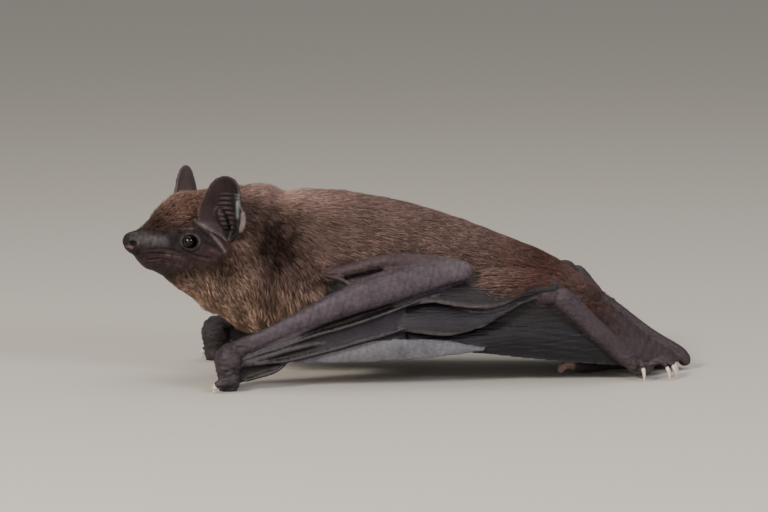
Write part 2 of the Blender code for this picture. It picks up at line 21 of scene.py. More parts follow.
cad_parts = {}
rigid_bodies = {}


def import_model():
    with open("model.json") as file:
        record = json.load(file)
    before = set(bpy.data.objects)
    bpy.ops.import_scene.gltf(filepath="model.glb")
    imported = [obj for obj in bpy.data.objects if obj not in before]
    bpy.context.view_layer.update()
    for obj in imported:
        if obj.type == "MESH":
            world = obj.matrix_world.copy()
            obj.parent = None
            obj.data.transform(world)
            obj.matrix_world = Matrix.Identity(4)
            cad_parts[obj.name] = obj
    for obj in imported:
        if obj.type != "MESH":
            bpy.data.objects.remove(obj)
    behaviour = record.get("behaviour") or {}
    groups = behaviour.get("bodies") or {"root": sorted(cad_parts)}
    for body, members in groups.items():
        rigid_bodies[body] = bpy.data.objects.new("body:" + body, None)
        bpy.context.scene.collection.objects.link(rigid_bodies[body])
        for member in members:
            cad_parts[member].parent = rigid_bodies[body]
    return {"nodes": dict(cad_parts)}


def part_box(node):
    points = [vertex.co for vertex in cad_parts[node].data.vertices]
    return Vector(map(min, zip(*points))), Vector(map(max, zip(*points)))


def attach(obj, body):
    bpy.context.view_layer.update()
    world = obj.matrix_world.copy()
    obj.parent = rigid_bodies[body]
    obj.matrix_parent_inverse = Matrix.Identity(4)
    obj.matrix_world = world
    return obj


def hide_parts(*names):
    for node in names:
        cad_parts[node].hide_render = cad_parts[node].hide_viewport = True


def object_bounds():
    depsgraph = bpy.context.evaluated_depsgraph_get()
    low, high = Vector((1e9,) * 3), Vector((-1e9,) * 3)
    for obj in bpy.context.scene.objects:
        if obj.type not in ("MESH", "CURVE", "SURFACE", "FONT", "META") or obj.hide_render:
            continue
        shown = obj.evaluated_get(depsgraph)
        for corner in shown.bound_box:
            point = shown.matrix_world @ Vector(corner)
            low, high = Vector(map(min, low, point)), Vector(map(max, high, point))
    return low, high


for startup_object in list(bpy.data.objects):
    bpy.data.objects.remove(startup_object, do_unlink=True)
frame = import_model()
CAD_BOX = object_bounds()

MM = 0.001
log = logging.getLogger("bat")
Array = np.ndarray


class Side(Enum):
    """The two sides of the animal; the value is the sign of Y."""

    LEFT = -1.0
    RIGHT = 1.0

    def label(self, name: str) -> str:
        """The name of the left or right one of a pair."""
        return f"{name}_{self.name.lower()}"


class Part(Enum):
    """The kinds of flesh that the one skin covers."""

    BODY = 0
    EAR = 1
    ARM = 2
    FINGER = 3
    HAND_WEB = 4
    ARM_WEB = 5
    THIGH = 6
    SHIN = 7
    FOOT = 8
    TAIL_WEB = 9
    TAIL = 10


# ---- Small mathematics ----


def smooth(value: Array) -> Array:
    """A soft step from 0 to 1."""
    t = np.clip(value, 0.0, 1.0)
    return t * t * (3.0 - 2.0 * t)


def ramp(value: Array, start: float, end: float) -> Array:
    """A soft step from 0 where a value is at its start to 1 where it is at its end."""
    return smooth((value - start) / (end - start))


def bell(distance: Array, width: float) -> Array:
    """1 at the middle, falling off over a width."""
    return np.exp(-((distance / width) ** 2))


def unit(vectors: Array) -> Array:
    """Vectors scaled to length one."""
    return vectors / np.maximum(np.linalg.norm(vectors, axis=-1, keepdims=True), 1e-9)


def catmull(rows: Array, position: Array) -> Array:
    """Reads rows of numbers at fractional indices, on a smooth curve through them.

    Args:
        rows: one row of numbers for each point of the curve.
        position: the fractional indices.

    Returns:
        One row for each position.
    """
    rows = np.asarray(rows, float)
    last = len(rows) - 1
    position = np.clip(np.asarray(position, float), 0.0, last)
    i = np.minimum(position.astype(int), last - 1)
    t = (position - i)[..., None]
    p, q = rows[np.maximum(i - 1, 0)], rows[i]
    r, s = rows[i + 1], rows[np.minimum(i + 2, last)]
    return 0.5 * (2 * q + (r - p) * t + (2 * p - 5 * q + 4 * r - s) * t**2 + (3 * q - p - 3 * r + s) * t**3)


def route(points: Array, count: int) -> Array:
    """count points spread evenly over a smooth curve through the given ones."""
    points = np.asarray(points, float)
    return catmull(points, np.linspace(0.0, len(points) - 1, count))


def read_curve(rows: tuple, at: Array) -> Array:
    """Rows of numbers read where their first column has given values, on a smooth curve through them."""
    rows = np.asarray(rows, float)
    index = np.linspace(0.0, len(rows) - 1, 400)
    return catmull(rows, np.interp(at, catmull(rows, index)[:, 0], index))


def ripple(points: Array, wavelength: float, seed: int) -> Array:
    """A soft uneven field between about -1 and 1, made of a few waves in mixed directions.

    Args:
        points: places, in millimetres.
        wavelength: the mean distance between crests, in millimetres.
        seed: picks the directions of the waves.

    Returns:
        One value for each point.
    """
    draw = np.random.default_rng(seed)
    total = np.zeros(len(points))
    waves = 9
    for _ in range(waves):
        direction = unit(draw.normal(size=3)) * math.tau / (wavelength * draw.uniform(0.7, 1.5))
        total += np.sin(points @ direction + draw.uniform(0.0, math.tau))
    return total / math.sqrt(waves / 2) / 1.6


def to_segments(points: Array, path: Array) -> tuple[Array, Array]:
    """How far points lie from a path, and where along it.

    Args:
        points: places in two or three dimensions.
        path: the path's corners, in order.

    Returns:
        The distance of each point, and its place along the path from 0 to 1.
    """
    path = np.asarray(path, float)
    best = np.full(len(points), np.inf)
    place = np.zeros(len(points))
    for k, (a, b) in enumerate(zip(path, path[1:])):
        along = np.clip((points - a) @ (b - a) / max((b - a) @ (b - a), 1e-12), 0.0, 1.0)
        distance = np.linalg.norm(points - (a + along[:, None] * (b - a)), axis=1)
        nearer = distance < best
        best[nearer] = distance[nearer]
        place[nearer] = (k + along[nearer]) / (len(path) - 1)
    return best, place


def inside_outline(points: Array, outline: Array) -> Array:
    """Signed distance to a closed outline in the plane, positive inside.

    Args:
        points: places in the plane.
        outline: the outline's corners, in order.

    Returns:
        One distance for each point.
    """
    outline = np.asarray(outline, float)
    distance, _ = to_segments(points, np.vstack([outline, outline[:1]]))
    inside = np.zeros(len(points), bool)
    for (x0, y0), (x1, y1) in zip(outline, np.roll(outline, -1, axis=0)):
        crosses = (y0 > points[:, 1]) != (y1 > points[:, 1])
        reach = x0 + (points[:, 1] - y0) * (x1 - x0) / (y1 - y0 if y1 != y0 else 1e-9)
        inside ^= crosses & (points[:, 0] < reach)
    return np.where(inside, distance, -distance)


def nearest(points: Array, source: Array) -> Array:
    """Finds the nearest source point to each point.

    Args:
        points: places to look from.
        source: places to choose among.

    Returns:
        The index of one source point for each point.
    """
    tree = KDTree(len(source))
    for k, place in enumerate(source):
        tree.insert(place, k)
    tree.balance()
    return np.array([tree.find(point)[1] for point in points])


# ---- Shells: closed forms in millimetres ----


@dataclass
class Shell:
    """A closed form of one part: its points, faces, each point's place on the part, and a tone of its own."""

    part: Part
    points: Array
    faces: list
    place: Array
    tone: str = ""


def grid_faces(rows: int, columns: int, wrap: bool, flip: bool = False, start: int = 0) -> list:
    """The quads of a grid of points, stored row by row.

    Args:
        rows: rows of points.
        columns: points in each row.
        wrap: True where each row closes on itself.
        flip: True to turn the quads over.
        start: the index of the first point.

    Returns:
        Four indices for each quad.
    """
    r = np.arange(rows - 1)[:, None]
    c = np.arange(columns if wrap else columns - 1)[None, :]
    n = (c + 1) % columns
    quads = np.stack(np.broadcast_arrays(r * columns + c, r * columns + n, (r + 1) * columns + n,
                                         (r + 1) * columns + c), axis=-1).reshape(-1, 4) + start
    return (quads[:, ::-1] if flip else quads).tolist()


def loft(part: Part, rings: Array) -> Shell:
    """A closed form through rings of points, with its ends filled.

    Args:
        part: what it is.
        rings: an array of rings by points by three coordinates.

    Returns:
        The form; its place runs along it and around it, both from 0 to 1.
    """
    count, sides, _ = rings.shape
    faces = grid_faces(count, sides, wrap=True)
    faces.append(list(range(sides))[::-1])
    faces.append(list(range((count - 1) * sides, count * sides)))
    along, around = np.meshgrid(np.linspace(0, 1, count), np.arange(sides) / sides, indexing="ij")
    return Shell(part, rings.reshape(-1, 3), faces, np.stack([along, around], -1).reshape(-1, 2))


def tube(part: Part, points: Array, radii: Array, sides: int = 24, flat: float = 1.0,
         bend: float = 1.0) -> Shell:
    """A round-ended tube through points.

    Args:
        part: what it is.
        points: the middle line.
        radii: the radius at a few even places along it.
        sides: points in each ring.
        flat: the height of its section over its width.
        bend: 1 for an oval section; smaller makes it squarer.

    Returns:
        The closed form.
    """
    line = np.asarray(points, float)
    steps = np.concatenate([[0.0], np.cumsum(np.linalg.norm(np.diff(line, axis=0), axis=1))])
    total = steps[-1]
    stops = np.linspace(0.0, total, max(8, int(total / 0.22)))
    radii = np.asarray(radii, float)[:, None]

    def radius(distance: Array) -> Array:
        """The radius at distances along the line."""
        return catmull(radii, (len(radii) - 1) * distance / total)[..., 0]

    first, last = float(radius(np.array(0.0))), float(radius(np.array(total)))
    turns = np.radians([8.0, 25.0, 45.0, 65.0])
    middle = stops[(stops > first) & (stops < total - last)]
    cap = 1 - np.cos(turns)
    distance = np.concatenate([first * cap, middle, (total - last * cap)[::-1]])
    share = np.concatenate([np.sin(turns), np.ones(len(middle)), np.sin(turns)[::-1]])
    order = np.argsort(distance, kind="stable")
    distance, share = distance[order], share[order]
    centres = np.stack([np.interp(distance, steps, line[:, k]) for k in range(3)], -1)
    heading = unit(np.gradient(centres, axis=0))
    up = np.array([0.0, 0.0, 1.0]) - heading * heading[:, 2:3]
    up = unit(np.where(np.linalg.norm(up, axis=1, keepdims=True) < 0.2, np.array([1.0, 0.0, 0.0]), up))
    across = unit(np.cross(heading, up))
    up = np.cross(across, heading)
    angle = math.tau * np.arange(sides) / sides
    size = (radius(distance) * share)[:, None, None]
    aside, above = (np.sign(wave) * np.abs(wave) ** bend for wave in (np.cos(angle), np.sin(angle)))
    ring = aside[None, :, None] * across[:, None] + flat * above[None, :, None] * up[:, None]
    return loft(part, centres[:, None] + size * ring)


def sheet(part: Part, grid: Array, front: Array, back: Array, tone: str = "") -> Shell:
    """A closed sheet around an open grid of points.

    Args:
        part: what it is.
        grid: rows by columns by three coordinates.
        front: how far the face on the normal's side stands off the grid.
        back: how far the other face stands off it.
        tone: the name of its own colour, if it has one.

    Returns:
        The closed form; its place is the row and column, both from 0 to 1.
    """
    rows, columns, _ = grid.shape
    normal = unit(np.cross(np.gradient(grid, axis=0), np.gradient(grid, axis=1)))
    shape = (rows, columns)
    faces = grid_faces(rows, columns, wrap=False)
    faces += grid_faces(rows, columns, wrap=False, flip=True, start=rows * columns)
    index = np.arange(rows * columns).reshape(shape)
    rim = np.concatenate([index[0, :-1], index[:-1, -1], index[-1, :0:-1], index[:0:-1, 0]])
    other = rim + rows * columns
    faces += np.stack([rim, other, np.roll(other, -1), np.roll(rim, -1)], -1).tolist()
    top = grid + normal * np.broadcast_to(front, shape)[..., None]
    bottom = grid - normal * np.broadcast_to(back, shape)[..., None]
    r, c = np.meshgrid(np.linspace(0, 1, rows), np.linspace(0, 1, columns), indexing="ij")
    place = np.stack([r, c], -1).reshape(-1, 2)
    return Shell(part, np.concatenate([top.reshape(-1, 3), bottom.reshape(-1, 3)]), faces,
                 np.concatenate([place, place]), tone)


# ---- Head, neck and trunk ----


@dataclass(frozen=True)
class Section:
    """An upright cut through the body, out to the coat's tips, at a distance ahead of the ear line."""

    along: float
    top: float
    bottom: float
    half_width: float
    waist: float = 0.47


@dataclass(frozen=True)
class CoatDepth:
    """How deep the coat lies over the skin at one place along the body."""

    along: float
    above: float
    beside: float
    below: float


@dataclass(frozen=True)
class Trunk:
    """The loft of head, neck and trunk, on a track that bends at the neck."""

    ear_line: tuple = (-27.65, -1.9, 20.5)
    head_yaw: float = math.radians(22.0)
    neck_length: float = 10.0
    sections: tuple = (
        Section(12.5, 20.2, 19.25, 0.55), Section(12.3, 20.65, 18.75, 1.25), Section(11.8, 20.95, 18.2, 1.6),
        Section(11, 21.15, 17.7, 1.85), Section(10.5, 21.3, 16.95, 2.1, 0.5),
        Section(9.4, 21.75, 15.8, 2.6, 0.52), Section(8.2, 22.65, 15.3, 3.05, 0.5),
        Section(6.3, 24.5, 14.1, 3.5, 0.48), Section(4.4, 25.8, 12.6, 4.25, 0.5),
        Section(2.2, 26.3, 11, 5.4, 0.55), Section(0, 26.6, 9.2, 6.4, 0.58),
        Section(-4.6, 27.1, 6.2, 8.2, 0.52), Section(-7.3, 27.2, 5.4, 9.2), Section(-10, 26.5, 5.1, 9.9),
        Section(-13, 26.45, 5, 10.5), Section(-18.3, 26, 4.5, 10.9), Section(-26.7, 24.5, 4, 10.5),
        Section(-33.8, 22.3, 4, 9.8), Section(-40.8, 19.6, 4.1, 8.6), Section(-46.4, 17.1, 4.8, 7),
        Section(-50.6, 14.6, 6, 4.9), Section(-53.3, 12.3, 7.6, 3), Section(-54.6, 10.7, 8.9, 1.2),
    )
    depths: tuple = (
        CoatDepth(12.5, 0, 0, 0), CoatDepth(10, 0, 0, 0), CoatDepth(7, 0.3, 0, 0.1),
        CoatDepth(4.4, 0.45, 0, 0.3), CoatDepth(2.2, 0.6, 0.05, 0.6), CoatDepth(0, 0.7, 0.25, 1),
        CoatDepth(-4.6, 0.9, 0.9, 1.5), CoatDepth(-10, 0.9, 1.1, 1.6), CoatDepth(-18, 0.8, 0.9, 1.2),
        CoatDepth(-26.7, 0.75, 0.7, 0.9), CoatDepth(-40.8, 0.6, 0.5, 0.6), CoatDepth(-50.6, 0.4, 0.4, 0.4),
        CoatDepth(-54.6, 0.3, 0.3, 0.3),
    )
    ring_spacing: float = 0.3
    ring_sides: int = 180

    def track(self, along: Array) -> tuple[Array, Array]:
        """The point on the floor under the middle line and the heading there.

        Args:
            along: distances ahead of the ear line.

        Returns:
            Points on the floor, and headings in radians, 0 being -X.
        """
        along = np.asarray(along, float)
        start = np.array([self.ear_line[0], self.ear_line[1], 0.0])
        radius = self.neck_length / self.head_yaw
        yaw = self.head_yaw * np.clip(1.0 + along / self.neck_length, 0.0, 1.0)
        ahead = np.maximum(along, 0.0)
        behind = np.maximum(-along - self.neck_length, 0.0)
        x = radius * (math.sin(self.head_yaw) - np.sin(yaw)) - ahead * math.cos(self.head_yaw) + behind
        y = radius * (np.cos(yaw) - math.cos(self.head_yaw)) - ahead * math.sin(self.head_yaw)
        return start + np.stack([x, y, np.zeros_like(x)], -1), yaw

    def section_at(self, along: Array) -> Array:
        """The sections read at distances along the track.

        Args:
            along: distances ahead of the ear line.

        Returns:
            Rows of along, top, bottom, half width and waist.
        """
        rows = np.array([(s.along, s.top, s.bottom, s.half_width, s.waist) for s in self.sections])
        index = np.linspace(0.0, len(rows) - 1, 1200)
        table = catmull(rows, index)
        return catmull(rows, np.interp(along, table[::-1, 0], index[::-1]))

    def depth_at(self, along: Array, angle: Array) -> Array:
        """The coat's depth at places on the body's surface.

        Args:
            along: distances ahead of the ear line.
            angle: the place around the section; 0 is the left side and a quarter turn is the top.

        Returns:
            One depth for each pair.
        """
        rows = np.array([(d.along, d.above, d.beside, d.below) for d in self.depths])[::-1]
        above, beside, below = (np.interp(along, rows[:, 0], rows[:, k]) for k in (1, 2, 3))
        rise = np.sin(angle)
        return beside + (above - beside) * smooth(rise) + (below - beside) * smooth(-rise)

    def surface(self, along: Array, angle: Array, lift: float = 0.0) -> Array:
        """Points on the skin of the body.

        Args:
            along: distances ahead of the ear line.
            angle: the place around the section; 0 is the left side and a quarter turn is the top.
            lift: how far over the skin the points lie.

        Returns:
            One point for each pair.
        """
        _, top, bottom, half_width, waist = np.moveaxis(self.section_at(along), -1, 0)
        inset = self.depth_at(along, angle) - lift
        foot, yaw = self.track(along)
        middle = bottom + waist * (top - bottom)
        reach = np.where(np.sin(angle) > 0, top - middle, middle - bottom) - inset
        out = np.stack([np.sin(yaw), -np.cos(yaw), np.zeros_like(yaw)], -1)
        points = foot + out * (np.maximum(half_width - inset, 0.1) * np.cos(angle))[..., None]
        points[..., 2] = middle + np.maximum(reach, 0.1) * np.sin(angle)
        return points

    def place(self, points: Array) -> tuple[Array, Array]:
        """Where points lie on the body.

        Args:
            points: places, in millimetres.

        Returns:
            The distance ahead of the ear line along the track, and the angle around the section.
        """
        start = np.array(self.ear_line[:2])
        radius = self.neck_length / self.head_yaw
        centre = start + radius * np.array([math.sin(self.head_yaw), -math.cos(self.head_yaw)])
        off = points[:, :2] - centre
        yaw = np.arctan2(-off[:, 0], off[:, 1])
        head = (points[:, :2] - start) @ np.array([-math.cos(self.head_yaw), -math.sin(self.head_yaw)])
        trunk = -self.neck_length - off[:, 0]
        neck = self.neck_length * (yaw / self.head_yaw - 1.0)
        along = np.where(yaw >= self.head_yaw, head, np.where(off[:, 0] >= 0.0, trunk, neck))
        _, top, bottom, half_width, waist = np.moveaxis(self.section_at(along), -1, 0)
        foot, yaw = self.track(along)
        aside = (points[:, 0] - foot[:, 0]) * np.sin(yaw) - (points[:, 1] - foot[:, 1]) * np.cos(yaw)
        middle = bottom + waist * (top - bottom)
        height = points[:, 2] - middle
        reach = np.where(height > 0, top - middle, middle - bottom)
        return along, np.arctan2(height / np.maximum(reach, 0.3), aside / np.maximum(half_width, 0.3))

    def head_axes(self, side: Side) -> Array:
        """Forward, outward and up, as rows, for one side of the head."""
        yaw = self.head_yaw
        forward = (-math.cos(yaw), -math.sin(yaw), 0.0)
        outward = (-side.value * math.sin(yaw), side.value * math.cos(yaw), 0.0)
        return np.array([forward, outward, (0.0, 0.0, 1.0)])

    def head_point(self, local: Array, side: Side) -> Array:
        """Points given in the head's frame, from the ear line: forward, outward and up."""
        return np.asarray(self.ear_line) + np.asarray(local, float) @ self.head_axes(side)

    def head_local(self, points: Array) -> Array:
        """Points in the head's frame, with outward measured as positive on both sides."""
        local = (points - np.asarray(self.ear_line)) @ self.head_axes(Side.LEFT).T
        return np.stack([local[:, 0], np.abs(local[:, 1]), local[:, 2]], -1)

    def on_side(self, points: Array, side: Side) -> Array:
        """True where points lie on one side of the head's middle."""
        return (points - np.asarray(self.ear_line)) @ self.head_axes(side)[1] > 0.0

    def head_turned(self, points: Array, normals: Array) -> Array:
        """Directions at points, in the head's frame, with outward measured as positive on both sides."""
        side = (points - np.asarray(self.ear_line)) @ self.head_axes(Side.LEFT).T[:, 1]
        local = normals @ self.head_axes(Side.LEFT).T
        local[:, 1] *= np.where(side < 0.0, -1.0, 1.0)
        return local

    def shells(self) -> list[Shell]:
        """The form of head, neck and trunk under the coat."""
        ends = self.sections[0].along, self.sections[-1].along
        along = np.linspace(ends[0], ends[1], int((ends[0] - ends[1]) / self.ring_spacing))
        angle = -math.tau * np.arange(self.ring_sides) / self.ring_sides
        a, t = np.meshgrid(along, angle, indexing="ij")
        return [loft(Part.BODY, self.surface(a, t))]


TRUNK = Trunk()


# ---- Sculpted forms of the head ----


@dataclass(frozen=True)
class Swelling:
    """A soft raised or sunken place on the head: centre and radii forward, outward and up."""

    centre: tuple
    radii: tuple
    height: float

    def amount(self, local: Array) -> Array:
        """The move along the normal at points of the head's frame."""
        return self.height * np.exp(-(((local - self.centre) / self.radii) ** 2).sum(1))


@dataclass(frozen=True)
class Stroke:
    """A crease or a ridge along a path on the head, with raised or sunken banks beside it."""

    path: tuple
    width: float
    height: float
    banks: float = 0.0

    def amount(self, local: Array) -> Array:
        """The move along the normal at points of the head's frame."""
        distance, place = to_segments(local, np.asarray(self.path))
        ends = 0.35 + 0.65 * np.sin(math.pi * np.clip(place, 0.04, 0.96)) ** 0.6
        core = bell(distance, self.width)
        return ends * self.height * (core - self.banks * bell(distance - 2.0 * self.width, self.width))


@dataclass(frozen=True)
class Mark:
    """A soft patch of colour along a path on the side of the head, given forward and up."""

    tone: str
    path: tuple
    width: float
    share: float


@dataclass(frozen=True)
class Face:
    """The folds, lips, nostrils, lids and colours of the head, in the head's frame."""

    eye: tuple = (4.3, 3.55, -0.8)
    eye_radius: float = 1.0
    cornea_bulge: float = 0.07
    lid_radius: float = 1.1
    nostril: tuple = (11.75, 1.4, -0.85)
    nostril_radii: tuple = (0.46, 1.2, 0.33)
    mouth: Stroke = Stroke(((11.6, 0.0, -2.55), (11.2, 1.0, -2.5), (10.2, 1.9, -2.35), (9.2, 2.6, -2.28),
                            (7.7, 3.1, -2.42), (6.4, 3.4, -2.65), (5.6, 3.6, -2.8)), 0.11, -0.13, 0.25)
    forms: tuple = (
        Swelling((11.3, 1.3, 0.3), (0.6, 0.6, 0.6), 0.14),  # nose pad
        Swelling((11.5, 1.4, -1.6), (0.5, 0.5, 0.3), 0.04),  # rim under the nostril
        Swelling((8.6, 2.8, -0.7), (1.7, 1.3, 1), 0.36),  # glandular swelling of the muzzle
        Swelling((10.5, 1.5, -0.6), (0.5, 1, 0.9), -0.18),  # waist behind the nose
        Swelling((6.1, 3.4, -0.9), (0.7, 1, 0.9), -0.3),  # hollow in front of the eye
        Swelling((3, 4.8, -2.3), (1.5, 1.5, 1), 0.25),  # cheek
        Swelling((9.2, 1.8, -3.4), (1.3, 1.2, 0.7), 0.13),  # lower lip
        Stroke(((12.6, 0, 0.2), (12.8, 0, -0.8), (12, 0, -2)), 0.2, -0.2),  # between nostrils
        Stroke(((9.8, 2.5, -1.75), (8.4, 3.1, -1.65), (7, 3.4, -1.85), (5.8, 3.7, -2.3)), 0.18, -0.12, 0.3),
        Stroke(((9.8, 1.9, -3.15), (8.2, 2.9, -3.1), (6.6, 3.2, -3.45)), 0.15, -0.13, 0.4),
        Stroke(((10.2, 1.4, -3.65), (8.4, 2.7, -3.75), (6.6, 3.1, -4.2), (5.2, 3.4, -4.6)), 0.16, -0.14, 0.4),
        Stroke(((9.2, 1.6, -4.3), (7.6, 2.5, -4.5), (6, 3, -5)), 0.16, -0.12, 0.3),
        Stroke(((6.3, 3.2, 0.7), (5.1, 3.75, 0.95), (4, 4.2, 0.95)), 0.26, 0.16, 0.2),  # brow
        Stroke(((4.9, 3.9, 2.1), (3.6, 4.7, 1.5), (2.7, 5.1, 0.85), (1.5, 5.9, -0.3), (0.4, 6.4, -1.7)),
               0.3, -0.3, 0.2),  # groove from brow to cheek
        Stroke(((3.5, 5.2, 2.2), (2.6, 5.7, 1.4), (1.7, 6.1, 0.5), (0.8, 6.5, -0.8), (-0.3, 6.9, -2.4)),
               0.24, 0.34, 0.2),  # ridge down from the ear's front margin
        Stroke(((3.3, 4.6, -0.9), (2.2, 5.2, -1.1), (1, 5.9, -1.7)), 0.2, -0.14, 0.2),
        Stroke(((4.3, 4.2, -2.5), (3, 4.8, -2.9), (1.8, 5.3, -3.2)), 0.2, -0.14, 0.3),
        Stroke(((10.6, 1.9, 0.2), (10.5, 2.2, -0.8), (10.6, 2.1, -1.9)), 0.16, -0.12, 0.3),
    )
    marks: tuple = (
        Mark("jaw", ((10, -4.4), (7, -4.4), (4, -4.2), (1.5, -3.2)), 1.3, 0.8),
        Mark("muzzle", ((11.2, -0.1), (9.3, -0.4), (7.8, -0.6)), 0.9, 0.95),
        # Painted shade in the hollow before the eye and along the grooves and creases of the cheek.
        Mark("hollow", ((8.6, 1), (7.2, 0.6), (6.4, -0.2), (6.1, -1.4)), 0.75, 0.85),
        Mark("hollow", ((7, 1.2), (5.4, 1.7), (4, 2)), 0.7, 0.8),
        Mark("hollow", ((5.2, 2.1), (3.7, 1.5), (2.7, 0.85), (1.5, -0.3), (0.2, -1.9)), 0.44, 1),
        Mark("hollow", ((3.3, -0.9), (2.2, -1.1), (1.2, -1.6)), 0.2, 0.5),
        Mark("brow", ((5, 0.9), (4, 1)), 0.26, 0.75),
        # Painted highlight along the ridge that runs down from the ear's front margin.
        Mark("ear_edge", ((3.5, 2.2), (2.6, 1.4), (1.7, 0.5), (0.8, -0.8), (-0.3, -2.4)), 0.2, 0.8),
        Mark("lip", ((7.4, -2.5), (6.2, -2.75), (5.2, -3.1)), 0.4, 0.5),
        Mark("lip", ((9.4, -2.7), (7.4, -2.85)), 0.14, 0.2),
        Mark("lip", ((1.9, -1.9), (0.3, -2.5)), 0.24, 0.5),
        Mark("lip", ((9.6, -3.5), (7.4, -3.8), (5.4, -4.3)), 0.14, 0.25),
        Mark("nose_rim", ((12.2, -1.35), (11.85, -1.5)), 0.17, 0.5),
        Mark("lid", ((11.15, -0.6), (11, -0.9)), 0.16, 0.8),
    )

    def sculpt(self, local: Array) -> Array:
        """The relief of the face.

        Args:
            local: places in the head's frame.

        Returns:
            How far each moves out along its normal.
        """
        move = self.mouth.amount(local)
        for form in self.forms:
            move += form.amount(local)
        hole = np.linalg.norm((local - self.nostril) / self.nostril_radii, axis=1)
        move += 0.07 * bell(hole - 1.4, 0.35) - 0.6 * np.exp(-hole**4)
        across = np.linalg.norm((local - self.eye)[:, [0, 2]], axis=1)
        near = (local[:, 1] > 2.0) & (across < 3.0)
        lid = 0.07 * bell(across - self.lid_radius - 0.05, 0.1) - 0.1 * bell(across - 1.5, 0.2)
        socket = -1.2 * (1.0 - ramp(across - self.eye_radius, -0.28, -0.08))
        return move + np.where(near, lid + socket, 0.0)

    def colour(self, local: Array) -> Array:
        """The colour of the face's bare skin: its marks, lips, lids and nostrils, with painted shade in its
        hollows and creases.

        Args:
            local: places in the head's frame.

        Returns:
            One colour for each place.
        """
        tone = plain("face", len(local))
        for mark in self.marks:
            distance, _ = to_segments(local[:, [0, 2]], np.asarray(mark.path))
            tone = tint(tone, mark.tone, mark.share * bell(distance, mark.width))
        # Painted shade along the closed mouth.
        mouth, _ = to_segments(local, np.asarray(self.mouth.path))
        tone = tint(tone, "hollow", 0.6 * bell(mouth, 0.12))
        off = local - self.eye
        across = np.linalg.norm(off[:, [0, 2]], axis=1)
        beside = local[:, 1] > 2.0
        corner = smooth((off[:, 2] - off[:, 0]) / 1.4) + ramp(off[:, 0], 0.7, 1.1)
        lid = bell(across - self.lid_radius - 0.06, 0.09) * (0.08 + 0.5 * corner)
        tone = tint(tone, "lid", lid * beside)
        # Painted shade in the groove around the eye.
        tone = tint(tone, "hollow", 0.75 * bell(across - 1.55, 0.28) * beside)
        # Painted shade inside the nostril.
        hole = np.linalg.norm((local - self.nostril) / self.nostril_radii, axis=1)
        return tint(tone, "hollow", 0.95 * np.exp(-hole**4))


FACE = Face()


